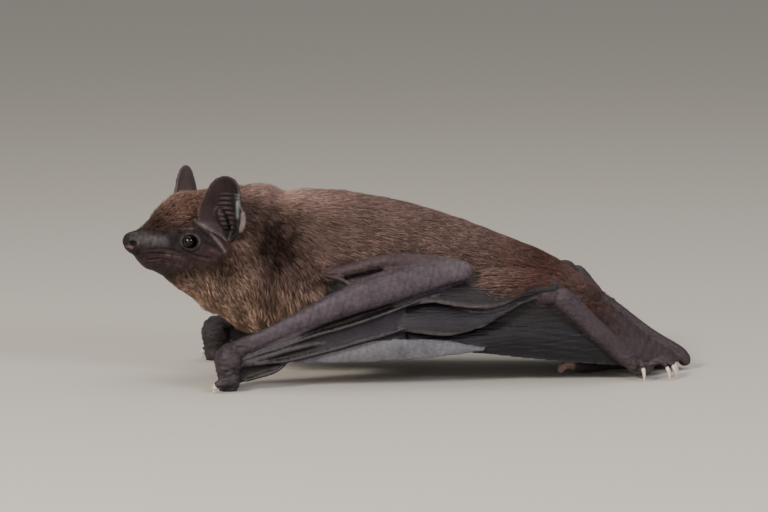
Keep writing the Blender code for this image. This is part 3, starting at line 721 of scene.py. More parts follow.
@dataclass(frozen=True)
class Ear:
    """A broad rounded ear, narrow at the notch below, cupped and ribbed inside, with a lobe behind."""

    base: tuple = (0.9, 6.3, -1.3)
    tip: tuple = (-0.1, 7.7, 8.4)
    outline: tuple = (
        (0.05, 0.9, 1.35), (0.12, 0.2, 1.9), (0.18, -0.75, 2.7), (0.25, -1.95, 3.35), (0.33, -2.95, 3.6),
        (0.46, -3.25, 3.35), (0.6, -3.15, 2.55), (0.76, -2.65, 2.3), (0.9, -2.05, 1.8), (0.98, -1.3, 0.95),
        (1.015, -0.35, 0.35),
    )
    cup: float = 2.5
    stand: float = 0.8
    turns: tuple = (math.radians(53.0), math.radians(47.0))
    thickness: float = 0.42
    first_rib: float = 0.237
    rib_step: float = 0.0724
    tragus: tuple = ((0.7, 0.9, -1.3), (0.3, 1.5, -0.7), (-0.1, 2.4, -0.3), (-0.4, 3.2, 0.0),
                     (-0.6, 3.9, 0.1))

    def frame(self, side: Side) -> tuple[Array, Array]:
        """The directions across the ear, front to rear, and out of its opening, in the head's frame."""
        turn = self.turns[list(Side).index(side)]
        across = np.array([-math.sin(turn), math.cos(turn), 0.0])
        facing = np.array([math.cos(turn), math.sin(turn), 0.0])
        return across, facing

    def margins(self, rise: Array) -> tuple[Array, Array]:
        """How far the front and the rear margin lie from the ear's middle line, at heights from 0 to 1."""
        rows = read_curve(self.outline, rise)
        return rows[..., 1], rows[..., 2]

    def shells(self, side: Side) -> list[Shell]:
        """The concha and the tragus of one ear.

        Args:
            side: which ear.

        Returns:
            Both closed forms.
        """
        rows, columns = 90, 80
        s, t = np.meshgrid(np.linspace(0, 1, columns), np.linspace(0, 1, rows), indexing="ij")
        first, last = self.outline[0][0], self.outline[-1][0]
        rise = first + (last - first) * np.sin(0.5 * math.pi * t)
        front, rear = self.margins(rise)
        closing = 1.0 - np.clip(rise, 0, 1)**5
        bowl = np.sin(math.pi * s**1.25) * (1.0 - 0.5 * rise) * ramp(rise, 0.0, 0.3) * closing
        sunk = 1.7 * (1.0 - ramp(rise, 0.04, 0.3))
        across, facing = self.frame(side)
        middle = np.asarray(self.base) + rise[..., None] * (np.asarray(self.tip) - self.base)
        local = middle + (front + (rear - front) * s)[..., None] * across
        local = local + (self.stand - self.cup * bowl - sunk)[..., None] * facing
        grid = TRUNK.head_point(local, side)
        concha = sheet(Part.EAR, grid, self.thickness / 2, self.thickness / 2)
        stem = [self.place_at(side, *place) for place in self.tragus]
        line = TRUNK.head_point(route(stem, 14), side)
        return [concha, tube(Part.EAR, line, (0.5, 0.62, 0.72, 0.7, 0.5), 20, 0.75)]

    def place_at(self, side: Side, aside: float, height: float, ahead: float) -> Array:
        """A place beside the ear's middle line, at a height over the ear line, in the head's frame."""
        across, facing = self.frame(side)
        base, tip = np.asarray(self.base), np.asarray(self.tip)
        middle = base + (height - base[2]) / (tip[2] - base[2]) * (tip - base)
        return middle + aside * across + ahead * facing

    def read(self, side: Side, points: Array, normals: Array) -> tuple[Array, Array, Array]:
        """Where points lie on the ear.

        Args:
            side: which ear.
            points: places on the skin.
            normals: its normals there.

        Returns:
            The height from 0 to 1, the place from front to rear margin from 0 to 1, and 1 on the inner face.
        """
        across, facing = self.frame(side)
        local = TRUNK.head_local(points)
        rise = (local[:, 2] - self.base[2]) / (self.tip[2] - self.base[2])
        middle = np.asarray(self.base) + rise[:, None] * (np.asarray(self.tip) - self.base)
        front, rear = self.margins(rise)
        place = ((local - middle) @ across - front) / (rear - front)
        inner = smooth(TRUNK.head_turned(points, normals) @ facing / 0.4 + 0.3)
        return rise, place, inner

    def across(self, rise: Array, place: Array) -> Array:
        """How far places between the margins lie from the ear's middle line, in millimetres."""
        front, rear = self.margins(rise)
        return front + place * (rear - front)

    def ribs(self, rise: Array, place: Array) -> Array:
        """The cross ribs in the rear half of the cup, 1 on their crests."""
        wave = np.cos(math.tau * (rise - self.first_rib) / self.rib_step)
        across = ramp(place, 0.36, 0.46) * ramp(place, 0.76, 0.68)
        return wave * across * ramp(rise, 0.19, 0.23) * ramp(rise, 0.79, 0.74)

    def relief(self, side: Side, points: Array, normals: Array) -> Array:
        """The relief of one ear: cross ribs, a ridge at the rear, the lobe's groove and a rolled edge.

        Args:
            side: which ear.
            points: places on the skin.
            normals: its normals there.

        Returns:
            How far each point moves out along its normal.
        """
        rise, place, inner = self.read(side, points, normals)
        aside = self.across(rise, place)
        rear = ramp(rise, 0.2, 0.3) * ramp(rise, 0.8, 0.68)
        lobe = ramp(rise, 0.16, 0.24) * ramp(rise, 0.55, 0.47)
        move = 0.07 * self.ribs(rise, place) + 0.2 * rear * bell(aside - 2.15, 0.3)
        move += lobe * (0.25 * bell(aside - 3.1, 0.35) - 0.3 * bell(aside - 2.65, 0.16))
        return inner * move + 0.05 * bell(np.minimum(place, 1.0 - place), 0.04)

    def colour(self, side: Side, points: Array, normals: Array) -> Array:
        """The colour of one ear's skin, with painted light and shade.

        Args:
            side: which ear.
            points: places on the skin.
            normals: its normals there.

        Returns:
            One colour for each point.
        """
        rise, place, inner = self.read(side, points, normals)
        tone = tint(plain("ear", len(points)), "ear_deep", ramp(place, 0.3, 0.6))
        # Painted highlights on the crests of the ribs.
        tone = tint(tone, "rib_highlight", 0.35 * smooth(self.ribs(rise, place)))
        aside = self.across(rise, place)
        # Painted light where the thin rear of the cup is lit through from behind, and on two short bars above
        # it.
        strip = bell(aside - 2.15, 0.36) * ramp(rise, 0.36, 0.44) * ramp(rise, 0.68, 0.65)
        bars = bell(aside - 1.9, 0.4) * (bell(rise - 0.745, 0.013) + bell(rise - 0.7, 0.013))
        tone = tint(tone, "ear_shine", strip + 0.8 * bars)
        lobe = ramp(rise, 0.16, 0.22) * ramp(rise, 0.53, 0.47)
        tone = tint(tone, "ear_lobe", lobe * ramp(aside, 2.6, 2.85))
        # Painted shade in the groove at the lobe's edge.
        tone = tint(tone, "hollow", 0.9 * lobe * bell(aside - 2.62, 0.16))
        tone = tint(tone, "ear_lobe", 0.75 * ramp(rise, 0.36, 0.3) * bell(place, 0.13))
        # Painted shade in the opening of the ear.
        hole = np.sqrt(((rise - 0.17) / 0.09) ** 2 + ((place - 0.55) / 0.3) ** 2)
        tone = tint(tone, "hollow", 0.95 * (1.0 - ramp(hole, 0.6, 1.1)))
        tone = mix(plain("ear_back", len(points)), tone, inner)
        # Painted highlight along the rim, where it is lit through from behind.
        edge = bell(np.minimum(place, 1.0 - place), 0.02) * ramp(rise, 0.3, 0.4)
        return tint(tone, "ear_edge", 0.5 * edge)


EAR = Ear()


# ---- Wings ----


@dataclass(frozen=True)
class Finger:
    """A folded finger bone: its middle line and how thick it is."""

    line: tuple
    radius: float


@dataclass(frozen=True)
class Wing:
    """One folded wing, given for the left side: Y is measured outward from the middle.

    folds are the lines that the wide web passes through, each from its front end to its rear end.
    """

    side: Side
    wrist: tuple = (-24.6, 14.4, 5.3)
    reach_right: float = -3.0
    leg_reach_right: float = 1.6
    web: float = 0.42
    upper_arm: tuple = ((-16, 7.4, 14.6), (-13.2, 9.3, 14.8), (-10.2, 10.5, 15.4), (-7, 11.4, 16.3),
                        (-3.5, 11.8, 17.1), (0.5, 11.9, 17.2), (4.5, 11.9, 16.8), (8, 11.8, 16))
    forearm: tuple = ((8.8, 11.9, 15.8), (5.8, 12.2, 15.7), (1.4, 12.7, 14.75), (-3.2, 13.1, 13.5),
                      (-9.7, 13.6, 11.5), (-14.9, 13.9, 9.3), (-19.5, 14.2, 7.35), (-24.2, 14.4, 5.5))
    fore_edge: tuple = ((-14, 9, 15), (-11.2, 10.9, 15.2), (-9.2, 12, 14.8), (-8, 12.7, 14.3),
                        (-6.4, 13, 14.8), (-4.4, 12.9, 15.5), (-2, 12.7, 16.2), (0.5, 12.5, 16.7))
    arm_edge: tuple = ((-23.6, 13.9, 4.8), (-21.1, 13.9, 5.7), (-18.4, 13.9, 7), (-14.9, 13.9, 8.5),
                       (-10.8, 13.9, 10), (-8, 13.8, 10.9), (-5.3, 13.6, 11.7), (-0.8, 13.3, 12.8))
    fingers: tuple = (
        Finger(((-23.6, 14.3, 4.4), (-21.8, 14.5, 5.05), (-20.1, 14.5, 5.7), (-17.7, 14.5, 6.5),
                (-14.9, 14.5, 7.65), (-12.2, 14.3, 8.75), (-9.4, 14.2, 9.7), (-6.7, 13.9, 10.55),
                (-3.9, 13.7, 11.3), (-0.8, 13.3, 12.3)), 0.24),
        Finger(((-23.6, 14.6, 4), (-20.1, 14.8, 5.15), (-17.7, 14.8, 5.8), (-14.9, 14.8, 6.8),
                (-12.2, 14.8, 7.65), (-9.4, 14.6, 8.35), (-6.7, 14.6, 9.15), (-3.9, 14.3, 10.05),
                (-1.2, 14.1, 11), (1.6, 13.7, 12), (4.2, 13.3, 12.8)), 0.26),
        Finger(((-23.4, 14.7, 3.6), (-21.8, 14.8, 3.95), (-19.1, 14.8, 4.65), (-16.3, 14.8, 5.45),
                (-13.6, 14.75, 6.05), (-11, 14.3, 6.5)), 0.27),
        Finger(((-23.8, 14.8, 3.2), (-21.8, 14.9, 3.45), (-19.1, 14.9, 3.75), (-17, 14.9, 3.95),
                (-15, 14.9, 4.35), (-12.2, 14.9, 5.05), (-9.5, 14.7, 5.7), (-6.7, 14.6, 6.5),
                (-4, 14.3, 7.1), (-1.2, 14.1, 7.95), (-0.2, 13.9, 8.3)), 0.3),
        Finger(((-23.6, 14.6, 1.1), (-21.9, 14.8, 1.45), (-20.2, 14.8, 1.95), (-18.7, 14.8, 2.4),
                (-17.5, 14.8, 3.1), (-16.6, 14.8, 3.9)), 0.26),
    )
    finger_taper: tuple = (0.6, 0.85, 1.0, 0.95, 0.5)
    band: float = 0.36
    panel_end_right: float = 1.6
    folds: tuple = (
        ((-2.5, 8.8, 13), (4, 8.8, 14.6), (10, 8, 15.2), (16.5, 6.4, 14.8), (21.5, 5, 12.8)),
        ((-2.5, 12.1, 12), (3, 12.3, 13.2), (10, 12.4, 13.4), (16, 12.3, 13.5),
         (20.5, 12.2, 13.4)),
        ((-2, 13.2, 10.9), (2.9, 13.5, 11.8), (6.5, 13.5, 11.25), (9.8, 13.4, 10.85),
         (12.6, 13.2, 11.2), (16.2, 12.9, 12.6), (20.3, 12.6, 13.1)),
        ((-2, 11.4, 11.2), (2.9, 11.1, 12.2), (6.5, 11, 11.8), (9.8, 10.9, 11.4), (12.6, 11, 11.7),
         (16.2, 11.5, 12.7), (20.4, 12, 12.9)),
        ((-1.6, 13.2, 9.4), (2.9, 13.5, 9.8), (7.5, 13.4, 9.6), (10.6, 13.2, 9.8), (13.4, 12.9, 10.6),
         (17, 12.5, 11.9), (20.6, 12.2, 12.6)),
        ((-1.2, 13.6, 8), (2.5, 13.8, 7.5), (5.5, 13.8, 7.3), (9.8, 13.6, 8.3), (12.6, 13.2, 9.8),
         (16.6, 12.6, 11.7), (20.6, 12.2, 12.4)),
        ((-1.2, 11.6, 8.5), (2.5, 11.2, 8.1), (5.5, 11.1, 7.9), (9.8, 11.1, 8.9), (12.6, 11.3, 10.2),
         (16.6, 11.7, 11.8), (20.8, 11.9, 12.1)),
        ((-0.5, 12.3, 6.4), (4, 12.6, 6.2), (9.5, 12.5, 6.4), (15.5, 12.1, 6.9), (21, 11.4, 6.4),
         (26.4, 10.4, 6)),
        ((0.5, 11.9, 5.1), (5, 12.1, 4.7), (10.3, 12, 4.3), (15.3, 11.5, 3.6), (22.3, 10.5, 2.75),
         (29.8, 8.9, 1.9)),
    )
    slip: tuple = ((-16, 3.6, 4), (-13, 3.6, 4.6), (-9.5, 3.55, 5.3), (-5.5, 3.53, 6.2),
                   (-2.2, 3.7, 6.5), (1.5, 3.85, 6.6), (5.6, 4.27, 6.2), (9, 4.65, 5.4), (10.4, 4.85, 5.05))

    def set_out(self, points: Array, slide: Array | None = None) -> Array:
        """Places given for the left side, set on this side.

        Args:
            points: places with Y measured outward.
            slide: how far each moves along X on the right side; as far as the wrist does unless it is given.

        Returns:
            Places in the frame.
        """
        points = np.array(points, float)
        points[..., 1] *= self.side.value
        if self.side is Side.RIGHT:
            points[..., 0] += self.reach_right if slide is None else slide
        return points

    def shells(self) -> list[Shell]:
        """All of the wing under the skin: arm, hand, fingers and webs."""
        webs = [self.arm_web(), self.elbow_web(), self.tip_web()]
        return self.arm() + self.hand() + self.finger_web() + webs

    def upper_line(self) -> Array:
        """The middle line of the upper arm, from shoulder to elbow; only its far end moves with the wrist."""
        count = 60
        slide = self.reach_right * np.linspace(0.0, 1.0, count)
        return self.set_out(route(self.upper_arm, count), slide)

    def arm(self) -> list[Shell]:
        """The upper arm and the forearm, with the elbow's point."""
        upper = tube(Part.ARM, self.upper_line(), (1.1, 0.85, 0.9, 1.0, 1.1, 1.1, 1.1), 30)
        edge = tube(Part.ARM, self.set_out(route(self.fore_edge, 60)), (0.4, 0.34, 0.3, 0.3, 0.3), 14)
        upper.tone = edge.tone = "upper_arm"
        line = self.set_out(route(self.forearm, 90))
        fore = tube(Part.ARM, line, (1.15, 1.65, 1.85, 1.85, 1.55, 1.15, 0.95, 1.05), 40, 1.12, 0.8)
        return [upper, edge, fore]

    def hand(self) -> list[Shell]:
        """The wrist's block, which stands on the floor, and the thumb without its claw."""
        wrist = self.set_out(self.wrist)
        drops = np.array([(0.6, 0.0, 1.0), (0.0, 0.0, -0.6), (-0.25, 0.1, -2.8), (-0.1, 0.25, -6.0)])
        drops[:, 1] *= self.side.value
        block = tube(Part.ARM, route(wrist + drops, 24), (1.4, 1.95, 1.4, 1.6), 30, 1.0, 0.9)
        thumb = tube(Part.ARM, route(self.thumb_line()[:4], 20), (0.85, 0.8, 0.6, 0.45), 20)
        return [block, thumb]

    def thumb_line(self) -> Array:
        """The thumb's middle line, from the wrist to the tip of its claw."""
        hooks = np.array([(1.4, 2.0, -3.4), (-0.4, 2.5, -3.7), (-1.4, 2.7, -4.0), (-2.0, 2.8, -4.5),
                          (-2.2, 2.8, -5.7)])
        hooks[:, 1] *= self.side.value
        return self.set_out(self.wrist) + hooks

    def finger_line(self, index: int) -> Array:
        """The middle line of one folded finger bone."""
        return self.set_out(route(self.fingers[index].line, 70))

    def finger_web(self) -> list[Shell]:
        """The folded finger bones and the narrow webs that sink in between them."""
        arm, slip = self.arm_edge, [(x, 13.6 - 0.03 * x, top) for x, _, top in self.slip]
        first, second, _, fourth, fifth = (finger.line for finger in self.fingers)
        taper = np.array(self.finger_taper)
        shells = [tube(Part.FINGER, self.finger_line(k), finger.radius * taper, 16)
                  for k, finger in enumerate(self.fingers)]
        # Three bands are painted shade: from the arm's edge to the first finger, between the first two
        # fingers and between the last two.
        bands = ((arm, first, -23.4, -1.0, 0.7, "hollow"), (first, second, -23.4, -1.0, 0.9, "hollow"),
                 (second, fourth, -23.4, -0.4, 0.45, "panel"), (fourth, slip, -15.6, -0.4, 0.5, "web_dark"),
                 (fourth, fifth, -23.4, -16.7, 0.5, "hollow"))
        for upper, lower, start, end, dip, tone in bands:
            s, t = np.linspace(0, 1, 90), np.linspace(0, 1, 24)[None, :, None]
            high, low = (self.set_out(read_curve(line, start + (end - start) * s)) for line in (upper, lower))
            grid = high[:, None] * (1 - t) + low[:, None] * t
            sink = dip * np.sin(math.pi * t) ** 0.5 * ramp(s, 0.0, 0.15)[:, None, None]
            sink = sink + 0.5 * ramp(s, 0.9, 1.0)[:, None, None]
            grid = grid - sink * np.array([0.0, self.side.value, 0.0])
            if self.side is Side.RIGHT:
                grid[..., 0] += self.panel_end_right * ramp(s, 0.7, 1.0)[:, None]
            shells.append(sheet(Part.HAND_WEB, grid, self.band / 2, self.band / 2, tone))
        return shells

    def arm_web(self) -> Shell:
        """The wide web from elbow and flank to the shin, in hanging folds."""
        columns, rows = 170, 150
        s = np.linspace(0, 1, columns)
        rails = [catmull(rail, s * (len(rail) - 1)) for rail in self.folds]
        stack = np.stack(rails)
        grid = catmull(stack.reshape(len(rails), -1), np.linspace(0, len(rails) - 1, rows))
        grid = grid.reshape(rows, columns, 3)
        share = smooth(s)
        slide = self.reach_right * (1.0 - share) + self.leg_reach_right * share
        slide = np.broadcast_to(slide[None, :], (rows, columns))
        return sheet(Part.ARM_WEB, self.set_out(grid, slide), self.web / 2, self.web / 2)

    def elbow_web(self) -> Shell:
        """The small web in the bend of the elbow, between upper arm and forearm."""
        upper = self.upper_line()[::-1]
        fore = self.set_out(route(self.forearm[:5], 60))
        t = np.linspace(0, 1, 24)[None, :, None]
        grid = upper[:, None] * (1 - t) + fore[:, None] * t
        along = np.linspace(0, 1, len(upper))[:, None]
        hang = 0.4 * np.sin(math.pi * t[..., 0]) + 2.0 * ramp(along, 0.8, 1.0)
        grid[..., 1] -= self.side.value * hang
        return sheet(Part.HAND_WEB, grid, self.web / 2, self.web / 2, "web_dark")

    def tip_web(self) -> Shell:
        """The folded finger tips, a pale smooth slip that tapers back under the folds."""
        x = np.linspace(self.slip[0][0], self.slip[-1][0], 120)
        _, low, top = read_curve(self.slip, x).T[:, :, None]
        s, t = np.linspace(0, 1, 120)[:, None], np.linspace(0, 1, 24)[None, :]
        y = 14.2 - 1.3 * s + 0.3 * np.sin(math.pi * t) * np.sin(math.pi * s)
        grid = np.stack(np.broadcast_arrays(x[:, None], y, low + (top - low) * t), -1)
        return sheet(Part.HAND_WEB, self.set_out(grid), 0.2, 0.2, "web_pale")

    def web_tone(self, place: Array) -> Array:
        """The wide web's colour, with painted highlights along the folds' edges and painted shade under them.

        Args:
            place: each point's row and column on the web, from 0 to 1.

        Returns:
            One colour for each point.
        """
        rail = place[:, 0] * (len(self.folds) - 1)
        tone = tint(plain("web_upper", len(place)), "panel", ramp(rail, 3.2, 4.0))
        tone = tint(tone, "web", ramp(rail, 6.0, 6.8))
        # Painted shade under the edges of the upper folds, fading out near the rear end.
        open_part = ramp(place[:, 1], 0.98, 0.73)
        tone = tint(tone, "hollow", open_part * (bell(rail - 3.2, 0.5) + bell(rail - 6.2, 0.45)))
        # Painted highlights along the folds' lower edges and the hem.
        edge = bell(rail - 1.92, 0.16) + bell(rail - 4.94, 0.16) + 0.8 * bell(rail - 8.0, 0.1)
        return tint(tone, "fold_highlight", 0.75 * edge)


# ---- Hind legs and tail ----


@dataclass(frozen=True)
class HindLeg:
    """One hind leg with its foot."""

    side: Side
    hip: tuple = (17.6, 4.0, 10.6)
    knee: tuple = (20.2, 12.8, 12.8)
    ankle: tuple = (30.9, 9.0, 2.3)
    haunch: tuple = ((11.0, 6.0, 11.2), (15.5, 8.6, 11.8), (18.6, 11.2, 12.2))
    reach_right: float = 1.6
    knee_back_right: float = 1.5
    toes: int = 5
    toe_roots: tuple = (0.2, 1.8, 2.1, 2.3, 2.5)
    toe_lengths: tuple = (1.9, 3.4, 3.9, 4.1, 4.0)
    toe_turns: tuple = (48.0, 17.0, 3.0, -11.0, -24.0)
    toe_steps: int = 40
    claw_from: int = 24

    def set_out(self, point: tuple) -> Array:
        """A place given for the left side, set on this side."""
        shift = self.reach_right if self.side is Side.RIGHT else 0.0
        return np.array((point[0] + shift, self.side.value * point[1], point[2]))

    def knee_out(self) -> Array:
        """The knee set on this side; the right one is drawn further back."""
        back = self.knee_back_right if self.side is Side.RIGHT else 0.0
        return self.set_out(self.knee) + (back, 0.0, 0.1 * back)

    def shells(self) -> list[Shell]:
        """Haunch, thigh, shin, sole and toes, without the claws."""
        hip, knee, ankle = self.set_out(self.hip), self.knee_out(), self.set_out(self.ankle)
        thigh = tube(Part.THIGH, route([hip, (hip + knee) / 2 + (0, 0, 0.2), knee], 30), (2.7, 2.4, 1.4), 30)
        bend = knee + (0.1, -self.side.value * 0.5, -0.5)
        haunch = tube(Part.THIGH, route([self.set_out(p) for p in self.haunch] + [bend], 30),
                      (1.9, 2.0, 1.7, 1.35), 30)
        line = route([knee, knee + 0.5 * (ankle - knee) - (0.0, 0.0, 0.1), ankle + (0.3, 0.0, -0.3)], 60)
        shin = tube(Part.SHIN, line, (1.45, 1.4, 1.25, 1.15, 1.05), 30, 1.05, 0.85)
        steps = np.array([(-0.9, 0.0, 0.6), (0.4, 0.0, -0.6), (1.6, 0.0, -0.8), (2.9, 0.0, -0.7)])
        sole = tube(Part.FOOT, route(ankle + steps, 20), (0.95, 1.15, 1.1, 0.8), 26, 0.85)
        lines = [route(self.toe_line(toe), self.toe_steps)[:self.claw_from + 2] for toe in range(self.toes)]
        toes = [tube(Part.FOOT, line, (0.5, 0.42, 0.36, 0.3), 14) for line in lines]
        return [thigh, haunch, shin, sole] + toes

    def toe_line(self, toe: int) -> Array:
        """The middle line of one toe, arched up and down to the tip of its claw.

        Args:
            toe: which toe, counted from the outer one.

        Returns:
            Five points in the frame.
        """
        spread = (self.toes - 1) / 2 - toe
        base = self.set_out(self.ankle) + (self.toe_roots[toe], self.side.value * 0.5 * spread, -0.5)
        angle = self.side.value * math.radians(self.toe_turns[toe])
        ahead = np.array([math.cos(angle), math.sin(angle), 0.0])
        shares = (0.0, 0.4, 0.75, 0.95, 1.0)
        line = np.array([base + share * self.toe_lengths[toe] * ahead for share in shares])
        line[1:, 2] = (2.6, 2.35, 1.3, 0.08)
        return line


@dataclass(frozen=True)
class Tail:
    """The tail, its tip turned under, and the web between the hind legs."""

    line: tuple = ((22.6, 0.0, 13.0), (28.5, 0.0, 9.5), (34.0, 0.0, 5.15), (38.1, 0.0, 2.3),
                   (38.9, 0.0, 0.45))
    tip: tuple = ((37.4, 0.0, 0.9), (30.0, -0.8, 0.9), (25.0, -3.6, 1.1), (22.6, -4.9, 1.7),
                  (21.4, -5.2, 1.3), (20.9, -5.3, 0.4))
    web: float = 0.42

    def shells(self, legs: list[HindLeg]) -> list[Shell]:
        """The tail, the turned-under tip and the web."""
        tail = tube(Part.TAIL, route(self.line, 60), (0.8, 0.65, 0.6, 0.75, 0.95), 20)
        tip = tube(Part.TAIL, route(self.tip, 60), (0.85, 0.65, 0.65, 0.7, 0.95, 0.5), 16)
        tip.tone = "tail_tip"
        return [tail, tip, self.tail_web(legs)]

    def tail_web(self, legs: list[HindLeg]) -> Shell:
        """The web from shin to shin, sagging beside the tail.

        Args:
            legs: both hind legs.

        Returns:
            The closed web.
        """
        s, t = np.meshgrid(np.linspace(0, 1, 90), np.linspace(0, 1, 140), indexing="ij")
        b = 2.0 * t - 1.0
        by_side = {leg.side: leg for leg in legs}
        edge = np.zeros(s.shape + (3,))
        for side, leg in by_side.items():
            knee, ankle = leg.knee_out(), leg.set_out(leg.ankle)
            line = knee + (0.99 * s[..., None]) * (ankle - knee) - (0.0, side.value * 0.7, 0.0)
            edge = np.where((np.sign(b) == side.value)[..., None], line, edge)
        middle = catmull(self.line, 3.45 * s) - (0.0, 0.0, 0.2)
        share = (np.abs(b) ** 1.15)[..., None]
        grid = middle * (1 - share) + edge * share
        sag = np.sin(math.pi * np.abs(b)) * np.sin(math.pi * np.minimum(1.0, 0.25 + 0.6 * s))
        grid[..., 2] = np.maximum(grid[..., 2] - 1.0 * sag, 1.5)
        grid[..., 0] += 0.8 * np.sin(math.pi * np.abs(b)) * s * s
        return sheet(Part.TAIL_WEB, grid, self.web / 2, self.web / 2)


# ---- Colours ----


def linear(hex_colour: str) -> Array:
    """An sRGB hex colour as linear red, green and blue."""
    value = np.array([int(hex_colour[k:k + 2], 16) / 255.0 for k in (1, 3, 5)])
    return np.where(value <= 0.04045, value / 12.92, ((value + 0.055) / 1.055) ** 2.4)


def mix(first: Array, second: Array, share: Array) -> Array:
    """Colours blended by a share from 0 to 1."""
    return first + (second - first) * np.clip(share, 0.0, 1.0)[:, None]


@dataclass(frozen=True)
class Palette:
    """The animal's colours, as sRGB hex values."""

    face: str = "#1b0f0f"
    muzzle: str = "#3a3638"
    jaw: str = "#2c2021"
    lip: str = "#4d393b"
    lid: str = "#544a4d"
    brow: str = "#54473f"
    nose_rim: str = "#7d6867"
    # Near black, painted as shade in creases, grooves, holes and under folds.
    hollow: str = "#100d0d"
    ear: str = "#261a1b"
    ear_deep: str = "#1e1617"
    # Painted highlight on the crests of the ear's ribs.
    rib_highlight: str = "#453b38"
    # Painted light where the thin rear of the ear is lit through from behind.
    ear_shine: str = "#60696a"
    ear_lobe: str = "#5f5656"
    ear_back: str = "#342828"
    # Painted highlight along the ear's rim and the ridge below its front margin.
    ear_edge: str = "#5b4d4e"
    arm: str = "#3d353c"
    # Painted highlight on the knob of the elbow.
    elbow_highlight: str = "#494044"
    upper_arm: str = "#35292c"
    # The wrists' darker skin, deepened with painted shade.
    dark_wrist_and_shade: str = "#2c2528"
    finger: str = "#353034"
    web: str = "#17151a"
    web_dark: str = "#19171b"
    web_upper: str = "#1b181b"
    # Painted highlight along the edges of the web's folds.
    fold_highlight: str = "#4d484a"
    panel: str = "#1f1c23"
    web_pale: str = "#55545a"
    shin: str = "#372e32"
    tail_web: str = "#332a2c"
    foot: str = "#372e31"
    fur_skin: str = "#33241f"
    back: str = "#7a635b"
    rump: str = "#523129"
    crown: str = "#785d53"
    # Painted shade on the fur below the ear.
    cheek: str = "#2e1511"
    chest: str = "#9b8172"
    # Dark fur over the muzzle and beside the bare face; also laid behind the ear as painted shade.
    shoulder: str = "#24140d"
    fur_root: str = "#2a1c17"
    claw: str = "#cdbfae"
    tail_tip: str = "#867069"
    iris: str = "#1b120e"
    pupil: str = "#050404"


PALETTE = Palette()
COLOUR = {name: linear(value) for name, value in vars(PALETTE).items()}


def plain(name: str, count: int) -> Array:
    """One of the animal's colours, for each of count points."""
    return np.tile(COLOUR[name], (count, 1))


def tint(colours: Array, name: str, share: Array, gain: float = 1.0) -> Array:
    """Colours blended towards one of the animal's, made lighter or darker by a gain."""
    return mix(colours, COLOUR[name] * gain, share)


# The edge of the bare face on the side of the head: forward of the ear line, and up.
FACE_OUTLINE = ((14, 1.2), (11, 1), (9.8, 0.7), (8.6, 0.75), (7.2, 1), (5.9, 1.15), (4.7, 1.5),
                (3.6, 2.5), (2.3, 2.7), (1, 1), (-0.8, -0.8), (-0.2, -2.3), (1, -3.4), (2.1, -4.2),
                (4, -4.7), (5.6, -5.2), (6.6, -6), (7.2, -7.5), (14, -7.5))


def bareness(points: Array) -> Array:
    """Positive on the bare face, negative under the coat: about the distance to the coat's edge."""
    local = TRUNK.head_local(points)
    edge = inside_outline(local[:, [0, 2]], np.asarray(FACE_OUTLINE))
    return edge + 0.3 * ripple(points, 1.4, 5)


def knee_share(points: Array) -> Array:
    """From 0 where the thigh is furred to 1 at the bare knee."""
    edge = points[:, 0] + 0.7 * np.abs(points[:, 1]) - 22.5 - 1.2 * ripple(points, 1.5, 51)
    return ramp(edge, 0.0, 4.0)


